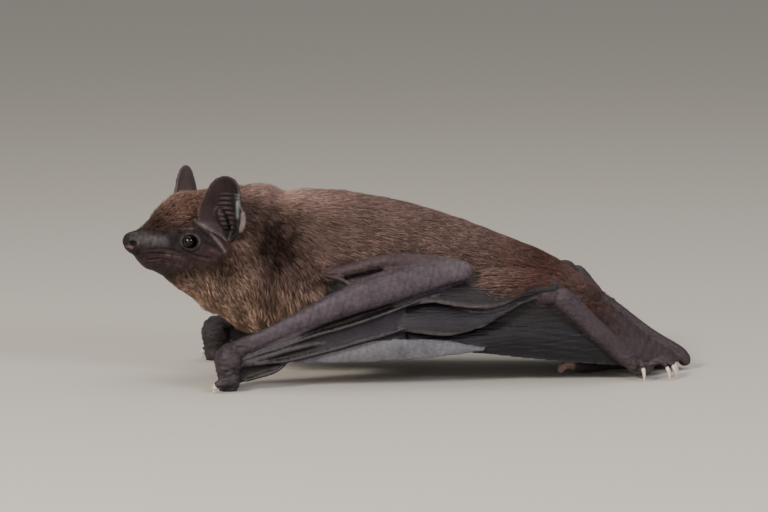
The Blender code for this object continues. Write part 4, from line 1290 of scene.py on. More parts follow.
def coat_colour(points: Array) -> Array:
    """The colour of the coat's tips, the same for skin and tufts, with painted sheen and shade in places.

    Args:
        points: places on the animal, in millimetres.

    Returns:
        One colour for each point.
    """
    along, angle = TRUNK.place(points)
    rise = np.sin(angle)
    x, outward, z = points[:, 0], np.abs(points[:, 1]), points[:, 2]
    colour = tint(plain("back", len(points)), "rump", ramp(along, -33.0, -48.0))
    painted_sheen = bell(along + 9.5, 6.0) * ramp(rise, 0.72, 0.97)  # painted sheen over the tops of the shoulders
    colour = tint(colour, "back", painted_sheen, 2.1)
    colour = tint(colour, "crown", ramp(along, -5.0, 0.0) * ramp(rise, -0.1, 0.5))
    chest = ramp(rise, 0.02, -0.48) * ramp(along, -34.0, -14.0)
    chest *= 1.0 - 0.25 * ramp(along, -5.0, -2.0)
    throat = ramp(along, -16.0, -8.0) * ramp(rise, -0.1, -0.45)
    colour = tint(colour, "chest", np.maximum(chest, throat))
    # Painted shade on the fur below and just ahead of the ear's base.
    colour = tint(colour, "cheek", 0.9 * bell(along - 0.5, 2.6) * bell(rise + 0.1, 0.45))
    colour = tint(colour, "shoulder", 0.75 * ramp(along, 5.5, 8.5))  # over the muzzle
    # Painted shade on the side of the neck behind the ear.
    neck_shade = bell(along + 8.0, 4.4) * bell(rise - 0.42, 0.42)
    colour = tint(colour, "shoulder", neck_shade * (1.25 + 0.35 * ripple(points, 1.6, 14)))
    breast = ramp(rise, 0.05, -0.3) * ramp(along, -24.0, -18.0) * ramp(along, -6.0, -11.0)
    colour = tint(colour, "chest", breast, 1.6)
    colour = tint(colour, "back", 0.7 * ramp(x, 17.0, 23.0) * ramp(rise, 0.0, 0.4), 0.9)  # over the hips
    colour = tint(colour, "tail_web", 0.8 * ramp(x, 22.5, 29.5), 1.3)  # down the tail
    # Painted shade in the armpit, between the upper arm, the forearm and the body.
    armpit_shade = bell(np.linalg.norm((points[:, [0, 2]] - (-10.4, 13.8)) / (2.6, 1.6), axis=1), 1.0)
    colour = tint(colour, "hollow", 0.95 * armpit_shade * ramp(outward, 6.0, 8.0))
    gap = bell((z - 13.6) / 1.3, 1.0) * ramp(x, -4.0, -1.0) * ramp(x, 9.0, 7.0)  # shade inside the forearm
    colour = tint(colour, "hollow", 0.85 * gap * ramp(outward, 6.0, 8.0))
    near_face = ramp(bareness(points), -2.4, 0.0) * ramp(along, -1.0, 1.0)
    near_face *= 1.0 - 0.8 * ramp(rise, 0.3, 0.65)
    colour = tint(colour, "shoulder", 0.85 * near_face)
    return colour * (1.0 + 0.1 * ripple(points, 5.0, 11) + 0.08 * ripple(points, 1.3, 12))[:, None]


# ---- Skin ----


@dataclass
class Origin:
    """Where each point of the skin comes from: its part, its place on the part and the part's own tone."""

    part: Array
    place: Array
    tone: Array

    def of(self, *parts: Part) -> Array:
        """True where a point belongs to one of some parts."""
        return np.isin(self.part, [part.value for part in parts])


@dataclass(frozen=True)
class Skin:
    """One skin over the whole animal, melted together from the shells of its parts."""

    voxel: float = 0.21
    soften: int = 10
    inward: float = 0.55
    outward: float = -0.5
    head_from: float = -3.0
    head_above: float = 13.5

    def build(self, shells: list[Shell]) -> tuple[bpy.types.Mesh, Origin]:
        """Melts the shells into one mesh, refines and sculpts the head.

        Args:
            shells: the closed forms of all the parts.

        Returns:
            The mesh in millimetres, and where each of its vertices comes from.
        """
        points = np.concatenate([shell.points for shell in shells])
        faces, start = [], 0
        for shell in shells:
            faces += [[v + start for v in face] for face in shell.faces]
            start += len(shell.points)
        mesh = bpy.data.meshes.new("melt")
        mesh.from_pydata(points.tolist(), [], faces)
        melt = bpy.data.objects.new("melt", mesh)
        bpy.context.scene.collection.objects.link(melt)
        remesh = melt.modifiers.new("melt", "REMESH")
        remesh.mode = "VOXEL"
        remesh.voxel_size = self.voxel
        graph = bpy.context.evaluated_depsgraph_get()
        fine = bpy.data.meshes.new_from_object(melt.evaluated_get(graph))
        bpy.data.objects.remove(melt)
        bpy.data.meshes.remove(mesh)
        log.info("melted: %d faces", len(fine.polygons))
        self.refine_head(fine)
        self.smooth_mesh(fine, self.soften)
        origin = self.trace(read_points(fine), shells)
        self.sculpt(fine, origin)
        write_points(fine, np.maximum(read_points(fine), (-1e9, -1e9, 0.0)))
        return fine, origin

    def refine_head(self, mesh: bpy.types.Mesh) -> None:
        """Cuts the faces of the head and ears in four.

        Args:
            mesh: the skin, in millimetres, which is changed in place.
        """
        bm = bmesh.new()
        bm.from_mesh(mesh)
        points = np.array([v.co for v in bm.verts])
        local = TRUNK.head_local(points)
        head = (local[:, 0] > self.head_from) & (points[:, 2] > self.head_above)
        edges = [e for e in bm.edges if head[e.verts[0].index] and head[e.verts[1].index]]
        bmesh.ops.subdivide_edges(bm, edges=edges, cuts=1, use_grid_fill=True)
        bm.to_mesh(mesh)
        bm.free()

    def smooth_mesh(self, mesh: bpy.types.Mesh, rounds: int) -> None:
        """Evens the mesh out, pulling each vertex to its neighbours' middle and pushing it back in turn.

        Args:
            mesh: the skin, in millimetres, which is changed in place.
            rounds: how many pulls and pushes there are.
        """
        points = read_points(mesh)
        edges = read_rows(mesh.edges, "vertices", 2, np.int32)
        degree = np.bincount(edges.ravel(), minlength=len(points))[:, None]
        for turn in range(rounds):
            total = np.zeros_like(points)
            for k in range(3):
                total[:, k] = (np.bincount(edges[:, 0], points[edges[:, 1], k], len(points))
                               + np.bincount(edges[:, 1], points[edges[:, 0], k], len(points)))
            pull = self.inward if turn % 2 == 0 else self.outward
            points = points + pull * (total / np.maximum(degree, 1) - points)
        write_points(mesh, points)

    def trace(self, points: Array, shells: list[Shell]) -> Origin:
        """Finds the shell that lies nearest to each point.

        Args:
            points: the skin's vertices.
            shells: the forms that it was melted from.

        Returns:
            The part, place and tone of each point.
        """
        source = np.concatenate([shell.points for shell in shells])
        labels = np.concatenate([np.full(len(shell.points), shell.part.value) for shell in shells])
        tones = np.concatenate([np.full(len(shell.points), shell.tone, dtype="<U12") for shell in shells])
        place = np.concatenate([shell.place for shell in shells])
        index = nearest(points, source)
        return Origin(labels[index], place[index], tones[index])

    def sculpt(self, mesh: bpy.types.Mesh, origin: Origin) -> None:
        """Adds the face's forms, the ear's ribs and the creases of the bare skin.

        Args:
            mesh: the skin, in millimetres, which is changed in place.
            origin: where each of its vertices comes from.
        """
        points = read_points(mesh)
        normals = read_normals(mesh)
        local = TRUNK.head_local(points)
        head = origin.of(Part.BODY) & (local[:, 0] > -2.5)
        move = np.zeros(len(points))
        move[head] += FACE.sculpt(local[head])
        for side in Side:
            ear = origin.of(Part.EAR) & TRUNK.on_side(points, side)
            move[ear] += EAR.relief(side, points[ear], normals[ear])
        limb = origin.of(Part.ARM, Part.SHIN, Part.FOOT)
        creased = 0.03 + 0.07 * ramp(points[limb, 0], -20.5, -22.0)  # deeper towards the wrist
        creased += 0.05 * ramp(points[limb, 0], 29.0, 31.0)  # and on the hind foot
        move[limb] += creased * ripple(points[limb] * (1.0, 1.0, 2.2), 1.2, 21)
        web = origin.of(Part.ARM_WEB)
        low = 0.035 + 0.025 * ramp(origin.place[web, 0], 0.7, 0.8)
        inside = ramp(origin.place[web, 0], 0.985, 0.935)
        move[web] += low * inside * ripple(points[web] * (0.22, 1.0, 1.9), 0.8, 22)
        tail = origin.of(Part.TAIL_WEB)
        move[tail] += 0.06 * ripple(points[tail] * (1.3, 0.35, 1.3), 1.3, 23)
        write_points(mesh, points + normals * move[:, None])

    def colour(self, points: Array, normals: Array, origin: Origin) -> Array:
        """The colour of the skin, with painted shade in its grooves and under its folds, and a painted
        highlight on each elbow.

        Args:
            points: its vertices, in millimetres.
            normals: its normals there.
            origin: where each vertex comes from.

        Returns:
            One colour for each vertex.
        """
        colour = mix(coat_colour(points) * 0.3, COLOUR["fur_skin"], np.full(len(points), 0.4))
        face = ramp(bareness(points), -0.4, 0.4) * origin.of(Part.BODY)
        colour = mix(colour, FACE.colour(TRUNK.head_local(points)), face)
        whole = {Part.ARM: "arm", Part.FINGER: "finger", Part.SHIN: "shin", Part.FOOT: "foot",
                 Part.TAIL_WEB: "tail_web", Part.TAIL: "tail_web"}
        for part, name in whole.items():
            colour[origin.of(part)] = COLOUR[name]
        for name in np.unique(origin.tone):
            if name:
                colour[origin.tone == name] = COLOUR[name]
        # Painted shade on the web between the fingers near the wrist.
        wrist_shade = (origin.tone == "panel") * ramp(points[:, 0], -11.0, -14.0)
        colour = tint(colour, "hollow", 0.9 * wrist_shade)
        streaks = ramp(ripple(points * (0.8, 1.0, 1.6), 1.1, 52), 0.1, 0.6)
        streaks *= ramp(points[:, 0], 33.0, 27.0)
        colour = tint(colour, "rump", 0.6 * streaks * origin.of(Part.TAIL_WEB), 0.8)
        # Painted shade on the undersides of the finger bones.
        below = ramp(normals[:, 2], 0.1, -0.4) * origin.of(Part.FINGER)
        colour = tint(colour, "hollow", 0.85 * below)
        tip = origin.tone == "tail_tip"
        colour[tip] = tint(colour[tip], "tail_web", ramp(points[tip, 0], 22.6, 23.4))
        for side in Side:
            ear = origin.of(Part.EAR) & TRUNK.on_side(points, side)
            colour[ear] = EAR.colour(side, points[ear], normals[ear])
        web = origin.of(Part.ARM_WEB)
        leg = HindLeg(Side.LEFT)
        flat = points[web][:, [0, 2]] - np.where(points[web, 1:2] > 0, leg.reach_right, 0.0) * (1.0, 0.0)
        beside, _ = to_segments(flat, np.array([leg.knee, leg.ankle])[:, [0, 2]])
        low = ramp(origin.place[web, 0], 0.75, 0.85)
        web_tone = Wing(Side.LEFT).web_tone(origin.place[web])
        # Painted shade on the web's lowest folds in a band beside the shin.
        colour[web] = tint(web_tone, "hollow", 0.9 * low * bell(beside - 1.6, 0.55))
        colour = tint(colour, "shin", knee_share(points) * origin.of(Part.THIGH))
        arm = origin.of(Part.ARM)
        # Painted highlight on the knob of the elbow.
        elbow_highlight = bell(np.linalg.norm(points[:, [0, 2]] - (8.0, 16.5), axis=1), 3.5)
        colour = tint(colour, "elbow_highlight", 0.8 * elbow_highlight * arm)
        # The wrists darker: partly their darker skin, partly painted shade.
        colour = tint(colour, "dark_wrist_and_shade", 0.8 * arm * ramp(points[:, 0], -20.5, -23.5))
        fine = 0.12 + 0.2 * origin.of(Part.BODY) + 0.1 * origin.of(Part.ARM)
        return colour * (1.0 + fine * ripple(points, 0.9, 31) + 0.1 * ripple(points, 3.5, 32))[:, None]


def read_rows(items: bpy.types.bpy_prop_collection, key: str, width: int, kind: type) -> Array:
    """One property of a mesh's items, as rows of numbers."""
    flat = np.empty(len(items) * width, kind)
    items.foreach_get(key, flat)
    return flat.reshape(-1, width)


def read_points(mesh: bpy.types.Mesh) -> Array:
    """The mesh's vertices as an array."""
    return read_rows(mesh.vertices, "co", 3, np.float32).astype(float)


def read_normals(mesh: bpy.types.Mesh) -> Array:
    """The mesh's vertex normals as an array."""
    return read_rows(mesh.vertex_normals, "vector", 3, np.float32).astype(float)


def read_triangles(mesh: bpy.types.Mesh) -> Array:
    """The mesh's triangles as triples of vertex indices."""
    mesh.calc_loop_triangles()
    return read_rows(mesh.loop_triangles, "vertices", 3, np.int32)


def write_points(mesh: bpy.types.Mesh, points: Array) -> None:
    """Moves the mesh's vertices."""
    mesh.vertices.foreach_set("co", points.astype(np.float32).ravel())
    mesh.update()


def paint(mesh: bpy.types.Mesh, colours: Array) -> None:
    """Stores a colour for each vertex, which the materials read."""
    layer = mesh.color_attributes.new("Tone", "FLOAT_COLOR", "POINT")
    rgba = np.concatenate([np.clip(colours, 0.0, 1.0), np.ones((len(colours), 1))], 1)
    layer.data.foreach_set("color", rgba.astype(np.float32).ravel())


# ---- Coat ----


@dataclass(frozen=True)
class Guide:
    """How the coat lies near one place: Y is measured outward, and lift is in degrees off the skin."""

    place: tuple
    lie: tuple
    lift: float
    length: float


@dataclass(frozen=True)
class Coat:
    """Solid tufts, each a three-sided tapering lock, rooted in the skin and lying along the body.

    A hair is about 0.01 mm thick, too fine to show, so each tuft stands for a lock 0.1 mm wide.
    """

    count: int = 126000
    root_depth: float = 0.12
    width: float = 0.105
    thick: float = 0.5
    patch: float = 0.003
    spare: float = 1.3
    guides: tuple = (
        Guide((-37.8, 0.5, 21.3), (1, 0.05, 0.3), 12, 0.5),
        Guide((-35.5, 1, 22.6), (1, 0.1, 0.5), 38, 1.4),
        Guide((-33, 2.5, 23.5), (1, 0.1, 0.4), 32, 1.6),
        Guide((-28, 0, 27), (1, 0, 0), 18, 1.8),
        Guide((-27, 5, 25), (1, 0.2, -0.2), 15, 1.5),
        Guide((-33, 2, 15), (0.8, 0.1, -0.6), 14, 1.1),
        Guide((-28, 5, 14), (0.5, 0.1, -0.9), 22, 2.4),
        Guide((-26, 7, 18), (0.6, 0.1, -0.8), 20, 2),
        Guide((-23, 0, 8), (0.8, 0, -0.5), 22, 3),
        Guide((-20, 8, 20), (0.7, 0, -0.7), 17, 2.8),
        Guide((-19, 9, 13), (0.1, 0.1, -1), 24, 3.6),
        Guide((-20, 7, 8), (0.3, 0, -0.9), 24, 3.2),
        Guide((-18, 0, 26.5), (1, 0, -0.05), 10, 2.6),
        Guide((-13, 9, 12), (0.55, 0, -0.85), 20, 3.2),
        Guide((-10, 9.5, 14.5), (0.95, 0, -0.4), 16, 3),
        Guide((-8, 8, 20), (1, 0.1, -0.3), 9, 3.1),
        Guide((0, 0, 24), (1, 0, -0.2), 8, 3.1),
        Guide((4, 9, 18), (1, 0, -0.35), 9, 3),
        Guide((14, 0, 19), (1, 0, -0.45), 9, 2.6),
        Guide((15, 8, 15), (1, 0.1, -0.5), 12, 2.5),
        Guide((21, 3, 14), (1, 0.1, -0.6), 11, 2.2),
        Guide((20, 11, 13), (0.9, 0, -0.5), 13, 1.5),
        Guide((0, 6, 5), (1, 0, -0.1), 14, 2.2),
        Guide((18, 5, 6), (1, 0, 0.1), 14, 1.8),
        Guide((27, 4, 9), (0.9, 0, -0.7), 10, 1.3),
    )
    clumps: int = 11000
    floor_gap: float = 0.12
    start_over: float = 0.3
    room_over: float = 0.9
    shortest: float = 0.4

    def field(self, points: Array) -> tuple[Array, Array, Array]:
        """Reads the guides at places on the skin.

        Args:
            points: places, in millimetres.

        Returns:
            The direction in which the coat lies, its lift in radians and its length.
        """
        side = np.where(points[:, 1:2] < 0, -1.0, 1.0)
        mirrored = points * np.concatenate([np.ones_like(side), side, np.ones_like(side)], 1)
        weights = []
        for guide in self.guides:
            distance = ((mirrored - guide.place) ** 2).sum(1)
            weights.append(1.0 / (distance + 1.5) ** 1.6)
        weights = np.stack(weights, 1)
        weights /= weights.sum(1, keepdims=True)
        lie = weights @ unit(np.array([guide.lie for guide in self.guides]))
        lie[:, 1:2] *= side
        lift = np.radians(weights @ np.array([guide.lift for guide in self.guides], float))
        length = weights @ np.array([guide.length for guide in self.guides], float)
        return unit(lie), lift, length

    def cover(self, points: Array, normals: Array, origin: Origin) -> Array:
        """How thickly the coat grows on the skin.

        Args:
            points: the skin's vertices, in millimetres.
            normals: its normals there.
            origin: where each vertex comes from.

        Returns:
            A share from 0 to 1 for each vertex.
        """
        x, aside, z = points[:, 0], np.abs(points[:, 1]), points[:, 2]
        brow = ramp(TRUNK.head_local(points)[:, 2], 0.4, 1.4)
        body = smooth((0.5 + 0.2 * brow - bareness(points)) / (1.4 + 0.4 * brow))
        cover = np.where(origin.of(Part.BODY), body, 0.0)
        patchy = 0.5 + 0.5 * ripple(points, 1.5, 51)
        cover = np.where(origin.of(Part.THIGH), 1.0 - knee_share(points), cover)
        above = ramp(normals[:, 2], 0.0, 0.4)
        tail = smooth((34.0 - x - 3.0 * patchy) / 9.0) * ramp(z, 4.0, 8.0) * above
        on_tail = 0.8 * tail * (1.0 - 0.5 * ramp(aside, 7.0, 11.0))
        cover = np.where(origin.of(Part.TAIL_WEB, Part.TAIL), on_tail, cover)
        rows, hang = origin.place[:, 0], 0.05 * bell(x - 13.5, 3.5) + 0.02 * patchy
        on_web = 0.8 * smooth((0.15 + hang - rows) / 0.08) * ramp(x, 7.0, 11.0)
        cover = np.where(origin.of(Part.ARM_WEB), on_web, cover)
        return np.where(origin.tone == "upper_arm", 0.35 * smooth((-7.5 - x - 2.0 * patchy) / 4.0), cover)

    def pick_roots(self, mesh: bpy.types.Mesh, cover: Array, draw: np.random.Generator) -> tuple:
        """Scatters roots over the furred skin.

        Args:
            mesh: the skin, in millimetres.
            cover: how thickly the coat grows at each vertex.
            draw: the source of random numbers.

        Returns:
            The roots, the skin's normals there, and how thickly the coat grows there.
        """
        points, normals, triangles = read_points(mesh), read_normals(mesh), read_triangles(mesh)
        corners = points[triangles]
        edges = corners[:, 1] - corners[:, 0], corners[:, 2] - corners[:, 0]
        area = 0.5 * np.linalg.norm(np.cross(*edges), axis=1)
        below = 1.0 - 0.45 * ramp(corners.mean(1)[:, 2], 6.5, 4.0)
        front = 1.0 + 0.5 * ramp(corners.mean(1)[:, 0], -20.0, -26.0)
        weight = area * cover[triangles].mean(1) * below * front
        picks = draw.choice(len(triangles), int(self.count * self.spare), p=weight / weight.sum())
        u, v = draw.random((2, len(picks)))
        flip = u + v > 1.0
        u, v = np.where(flip, 1.0 - u, u), np.where(flip, 1.0 - v, v)
        share = np.stack([1.0 - u - v, u, v], -1)[..., None]
        chosen = triangles[picks]
        return ((points[chosen] * share).sum(1), unit((normals[chosen] * share).sum(1)),
                (cover[chosen] * share[..., 0]).sum(1))

    def grow(self, mesh: bpy.types.Mesh, cover: Array) -> dict[str, Array]:
        """Grows every tuft and keeps those that have room.

        Args:
            mesh: the skin, in millimetres.
            cover: how thickly the coat grows at each vertex.

        Returns:
            For each tuft its root, middle, tip, across and outward directions, width and unrest.
        """
        draw = np.random.default_rng(17)
        root, normal, cover = self.pick_roots(mesh, cover, draw)
        count = len(root)
        lie, lift, length = self.field(root)
        lie = unit(lie - normal * (lie * normal).sum(1, keepdims=True))
        across = np.cross(normal, lie)
        unrest = ramp(np.degrees(lift), 10.0, 22.0) * ramp(length, 1.2, 2.6)
        swing = draw.normal(0.0, 0.07 + 0.07 * unrest, count) + (0.04 + 0.2 * unrest) * ripple(root, 4.5, 41)
        lie = lie * np.cos(swing)[:, None] + across * np.sin(swing)[:, None]
        lift = lift * draw.uniform(0.6, 1.5, count) * (1.0 + (0.08 + 0.3 * unrest) * ripple(root, 4.0, 42))
        length = length * draw.uniform(0.7, 1.15, count) * (0.3 + 0.7 * cover)
        rise = (length * np.sin(lift))[:, None] * normal
        run = (length * np.cos(lift))[:, None] * lie
        middle, tip = 0.5 * run + 0.62 * rise, run + 0.8 * rise
        tip, middle = self.clump(root, tip, middle, unrest, draw)
        tip[:, 2] = np.maximum(tip[:, 2], self.floor_gap - root[:, 2])
        middle[:, 2] = np.maximum(middle[:, 2], self.floor_gap - root[:, 2])
        tree = BVHTree.FromPolygons(read_points(mesh).tolist(), read_triangles(mesh).tolist())
        room = np.ones(count, bool)
        shorten = np.ones(count)
        for i in range(count):
            start = Vector(root[i] + self.start_over * normal[i])
            if tree.ray_cast(start, Vector(normal[i]), self.room_over)[0] is not None:
                room[i] = False
                continue
            way = Vector(tip[i])
            hit = tree.ray_cast(start, way.normalized(), way.length)
            if hit[0] is not None:
                shorten[i] = hit[3] / way.length * 0.9
                room[i] = shorten[i] > self.shortest
        keep = np.nonzero(room)[0][: self.count]
        log.info("tufts with room: %d of %d", len(np.nonzero(room)[0]), count)
        shorten = shorten[keep, None]
        tufts = {"root": root[keep], "middle": middle[keep] * shorten, "tip": tip[keep] * shorten,
                 "out": normal[keep], "unrest": unrest[keep]}
        tufts["across"] = unit(np.cross(tufts["tip"], tufts["out"]))
        stout = 0.5 + 0.5 * ramp(length[keep], 0.0, 2.0)
        tufts["width"] = self.width * draw.uniform(0.7, 1.25, len(keep)) * stout
        return tufts

    def clump(self, root: Array, tip: Array, middle: Array, unrest: Array,
              draw: np.random.Generator) -> tuple[Array, Array]:
        """Draws the tips together into locks where the coat stands out.

        Args:
            root: the tufts' roots.
            tip: their tips, measured from the roots.
            middle: their middles, measured from the roots.
            unrest: how loosely each stands, from 0 to 1.
            draw: the source of random numbers.

        Returns:
            The new tips and middles.
        """
        heads = draw.choice(len(root), self.clumps, replace=False)
        lead = heads[nearest(root, root[heads])]
        pull = (0.04 + 0.4 * unrest)[:, None]
        goal = root[lead] + tip[lead] - root
        return tip + pull * (goal - tip), middle + 0.3 * pull * (goal * 0.5 - middle)

    def tones(self, tufts: dict[str, Array], draw: np.random.Generator) -> Array:
        """The colours of every tuft, dark at the root and with some pale tips.

        Args:
            tufts: what grow made.
            draw: the source of random numbers.

        Returns:
            Three colours for each tuft, at its root, middle and tip.
        """
        root = tufts["root"]
        tip = coat_colour(root)
        bright = 1.0 + (0.14 + 0.14 * tufts["unrest"]) * draw.normal(0.0, 1.0, len(root))
        pale = (draw.random(len(root)) < 0.16) * draw.uniform(0.1, 0.5, len(root)) * (1.0 + tufts["unrest"])
        tip = tip * np.clip(bright + pale, 0.4, 2.2)[:, None]
        below = ramp(np.sin(TRUNK.place(root)[1]), -0.3, -0.6)
        base = mix(plain("fur_root", len(root)), tip, 0.3 + 0.35 * below)
        face = ramp(TRUNK.head_local(root)[:, 0], 2.0, 5.0)
        base = mix(base, tip, 0.5 * face)
        return np.stack([base, mix(base, tip, np.full(len(root), 0.6)), tip * 1.08], 1)

    def pieces(self, tufts: dict[str, Array]) -> dict[str, tuple]:
        """Sorts the tufts into pieces along the body and makes each one's mesh.

        Args:
            tufts: what grow made.

        Returns:
            For each piece's name its points, triangles, colours and patches.
        """
        along, angle = TRUNK.place(tufts["root"])
        tone = self.tones(tufts, np.random.default_rng(23))
        order = np.argsort(-along, kind="stable")
        names = list(CoatPiece)
        made = {}
        for name, members in zip(names, np.array_split(order, len(names))):
            where = np.stack([along[members], angle[members]], -1)
            where = (where - where.min(0)) / np.maximum(np.ptp(where, axis=0), 1e-6)
            cells = int(0.94 / (self.patch * 1.1))
            corner = 0.02 + np.floor(where * cells) / cells * 0.95
            some = {key: value[members] for key, value in tufts.items()}
            made[name.value] = (*self.tuft_mesh(some), tone[members], corner)
        return made

    def tuft_mesh(self, tufts: dict[str, Array]) -> tuple[Array, Array]:
        """Makes some tufts, each from two rings of three points and a tip.

        Args:
            tufts: what grow made.

        Returns:
            Their points and triangles.
        """
        root, out, across = tufts["root"], tufts["out"], tufts["across"]
        half = 0.5 * tufts["width"][:, None]
        start = root - self.root_depth * out
        rings = []
        for centre, share in ((start, 1.0), (root + tufts["middle"], 0.8)):
            rings += [centre - share * half * across, centre + share * half * across,
                      centre + share * half * 2.0 * self.thick * out]
        points = np.stack(rings + [root + tufts["tip"]], 1)
        pattern = [(0, 1, 2)]
        for k in range(3):
            n = (k + 1) % 3
            pattern += [(k, k + 3, n + 3), (k, n + 3, n), (k + 3, 6, n + 3)]
        triangles = np.array(pattern)[None] + 7 * np.arange(len(root))[:, None, None]
        return points.reshape(-1, 3), triangles.reshape(-1, 3)


class CoatPiece(Enum):
    """The lengths into which the coat is parted, from the head back."""

    HEAD = "coat_head"
    CROWN = "coat_nape"
    THROAT = "coat_throat"
    CHEST = "coat_chest"
    BACK = "coat_back"
    FLANK = "coat_flank"
    LOIN = "coat_loin"
    RUMP = "coat_rump"


# ---- Materials ----


def add_node(tree: bpy.types.NodeTree, kind: str, settings: dict | None = None,
             inputs: dict | None = None) -> bpy.types.Node:
    """Adds one node to a material.

    Args:
        tree: the material's node tree.
        kind: the node's type name.
        settings: properties of the node itself.
        inputs: for each input, by name or index, a value or the output socket to link to it.

    Returns:
        The new node.
    """
    node = tree.nodes.new(kind)
    for name, value in (settings or {}).items():
        setattr(node, name, value)
    for name, value in (inputs or {}).items():
        if isinstance(value, bpy.types.NodeSocket):
            tree.links.new(value, node.inputs[name])
        else:
            node.inputs[name].default_value = value
    return node


@dataclass(frozen=True)
class Finish:
    """A surface whose colour is painted on its mesh, with fine grain over it.

    grain is the size of the pattern's cells and relief how deep it is cut, in millimetres; stretch draws
    the cells out along X, Y and Z; mottle is how far they darken the colour; gloss is the shader's specular
    level, under a half where creases or hairs too small to model trap part of the reflection; coat is a
    clear film. Creases in such skin are about 0.1 mm apart, too fine to show, so they are drawn wider.
    """

    name: str
    roughness: float
    ior: float
    grain: float
    stretch: tuple
    relief: float
    mottle: float
    gloss: float = 0.5
    coat: float = 0.0

    def material(self) -> bpy.types.Material:
        """Makes the finish's material."""
        made = bpy.data.materials.new(self.name)
        made.use_nodes = True
        tree = made.node_tree
        shader = tree.nodes["Principled BSDF"]
        tone = add_node(tree, "ShaderNodeVertexColor", {"layer_name": "Tone"})
        place = add_node(tree, "ShaderNodeTexCoord")
        scale = [1.0 / (self.grain * MM * reach) for reach in self.stretch]
        mapping = add_node(tree, "ShaderNodeMapping", {}, {"Vector": place.outputs["Object"], "Scale": scale})
        noise = add_node(tree, "ShaderNodeTexNoise", {},
                         {"Vector": mapping.outputs[0], "Scale": 1.0, "Detail": 3.0, "Roughness": 0.6})
        cells = add_node(tree, "ShaderNodeTexVoronoi", {"feature": "DISTANCE_TO_EDGE"},
                         {"Vector": mapping.outputs[0], "Scale": 0.8})
        crease = add_node(tree, "ShaderNodeMapRange", {},
                          {"Value": cells.outputs["Distance"], "From Max": 0.12})
        height = add_node(tree, "ShaderNodeMath", {"operation": "MULTIPLY_ADD"},
                          {0: crease.outputs[0], 1: 0.45, 2: noise.outputs[0]})
        shade = add_node(tree, "ShaderNodeMapRange", {},
                         {"Value": height.outputs[0], "From Min": 0.3, "From Max": 1.1,
                          "To Min": 1.0 - self.mottle, "To Max": 1.0 + self.mottle})
        colour = add_node(tree, "ShaderNodeVectorMath", {"operation": "SCALE"},
                          {0: tone.outputs["Color"], "Scale": shade.outputs[0]})
        bump = add_node(tree, "ShaderNodeBump", {},
                        {"Height": height.outputs[0], "Distance": self.relief * MM})
        tree.links.new(colour.outputs[0], shader.inputs["Base Color"])
        tree.links.new(bump.outputs[0], shader.inputs["Normal"])
        levels = {"Roughness": self.roughness, "IOR": self.ior, "Specular IOR Level": self.gloss,
                  "Coat Weight": self.coat}
        for name, value in levels.items():
            shader.inputs[name].default_value = value
        return made


# Living skin is keratin over moist tissue, with an IOR of 1.4 to 1.45; hair and claws are dry keratin, 1.55.
# Pored bare skin, slightly greasy: broad dim lights on the muzzle.
FACE_SKIN = Finish("face_skin_pored", 0.55, 1.4, 0.26, (1.0, 1.0, 1.0), 0.05, 0.25, gloss=0.28)
# Thin skin stretched over gristle: a faint sheen that picks out the ribs.
EAR_SKIN = Finish("ear_skin_thin", 0.5, 1.43, 0.3, (1.0, 1.0, 0.7), 0.03, 0.18, gloss=0.38)
# Skin creased across the bone: a broken light along the forearm.
ARM_SKIN = Finish("arm_skin_creased", 0.48, 1.42, 0.2, (1.6, 1.0, 0.7), 0.035, 0.28, gloss=0.36)
# Elastic web, wrinkled where it is folded: dull, with light only on the edges of its folds.
WEB_SKIN = Finish("wing_web_wrinkled", 0.45, 1.42, 0.22, (3.0, 1.0, 0.8), 0.035, 0.22, gloss=0.35)
# Coarse wrinkled skin of shin, foot and tail web: many small soft lights.
FOOT_SKIN = Finish("foot_skin_wrinkled", 0.5, 1.43, 0.3, (1.6, 1.0, 0.8), 0.06, 0.3, gloss=0.36)
# Dry flaky skin under the coat: no shine, so gaps between tufts stay in shade.
SCALP = Finish("skin_under_coat", 0.7, 1.43, 0.3, (2.0, 1.0, 1.0), 0.05, 0.2, gloss=0.2)
# Hair, grown in fine scales: a silky light that follows the lie of the coat.
FUR = Finish("fur_keratin", 0.5, 1.55, 0.1, (6.0, 1.0, 1.0), 0.01, 0.18, gloss=0.22)
# Claw, grown in layers and worn smooth: pale and half glossy.
HORN = Finish("claw_horn", 0.32, 1.55, 0.25, (1.0, 1.0, 3.0), 0.01, 0.12, coat=0.2)
# Cornea under a film of tears, IOR 1.376: each lamp shows as a small sharp light.
EYE = Finish("eye_wet", 0.05, 1.376, 0.4, (1.0, 1.0, 1.0), 0.0, 0.1)


# ---- Objects ----


def mesh_from(name: str, points: Array, triangles: Array) -> bpy.types.Mesh:
    """Makes a smooth-shaded mesh.

    Args:
        name: its name.
        points: its vertices, in millimetres.
        triangles: three indices for each triangle.

    Returns:
        The mesh, in metres.
    """
    mesh = bpy.data.meshes.new(name)
    mesh.vertices.add(len(points))
    mesh.vertices.foreach_set("co", (points * MM).astype(np.float32).ravel())
    mesh.loops.add(triangles.size)
    mesh.loops.foreach_set("vertex_index", triangles.astype(np.int32).ravel())
    mesh.polygons.add(len(triangles))
    mesh.polygons.foreach_set("loop_start", np.arange(0, triangles.size, 3, dtype=np.int32))
    mesh.update(calc_edges=True)
    mesh.shade_smooth()
    return mesh


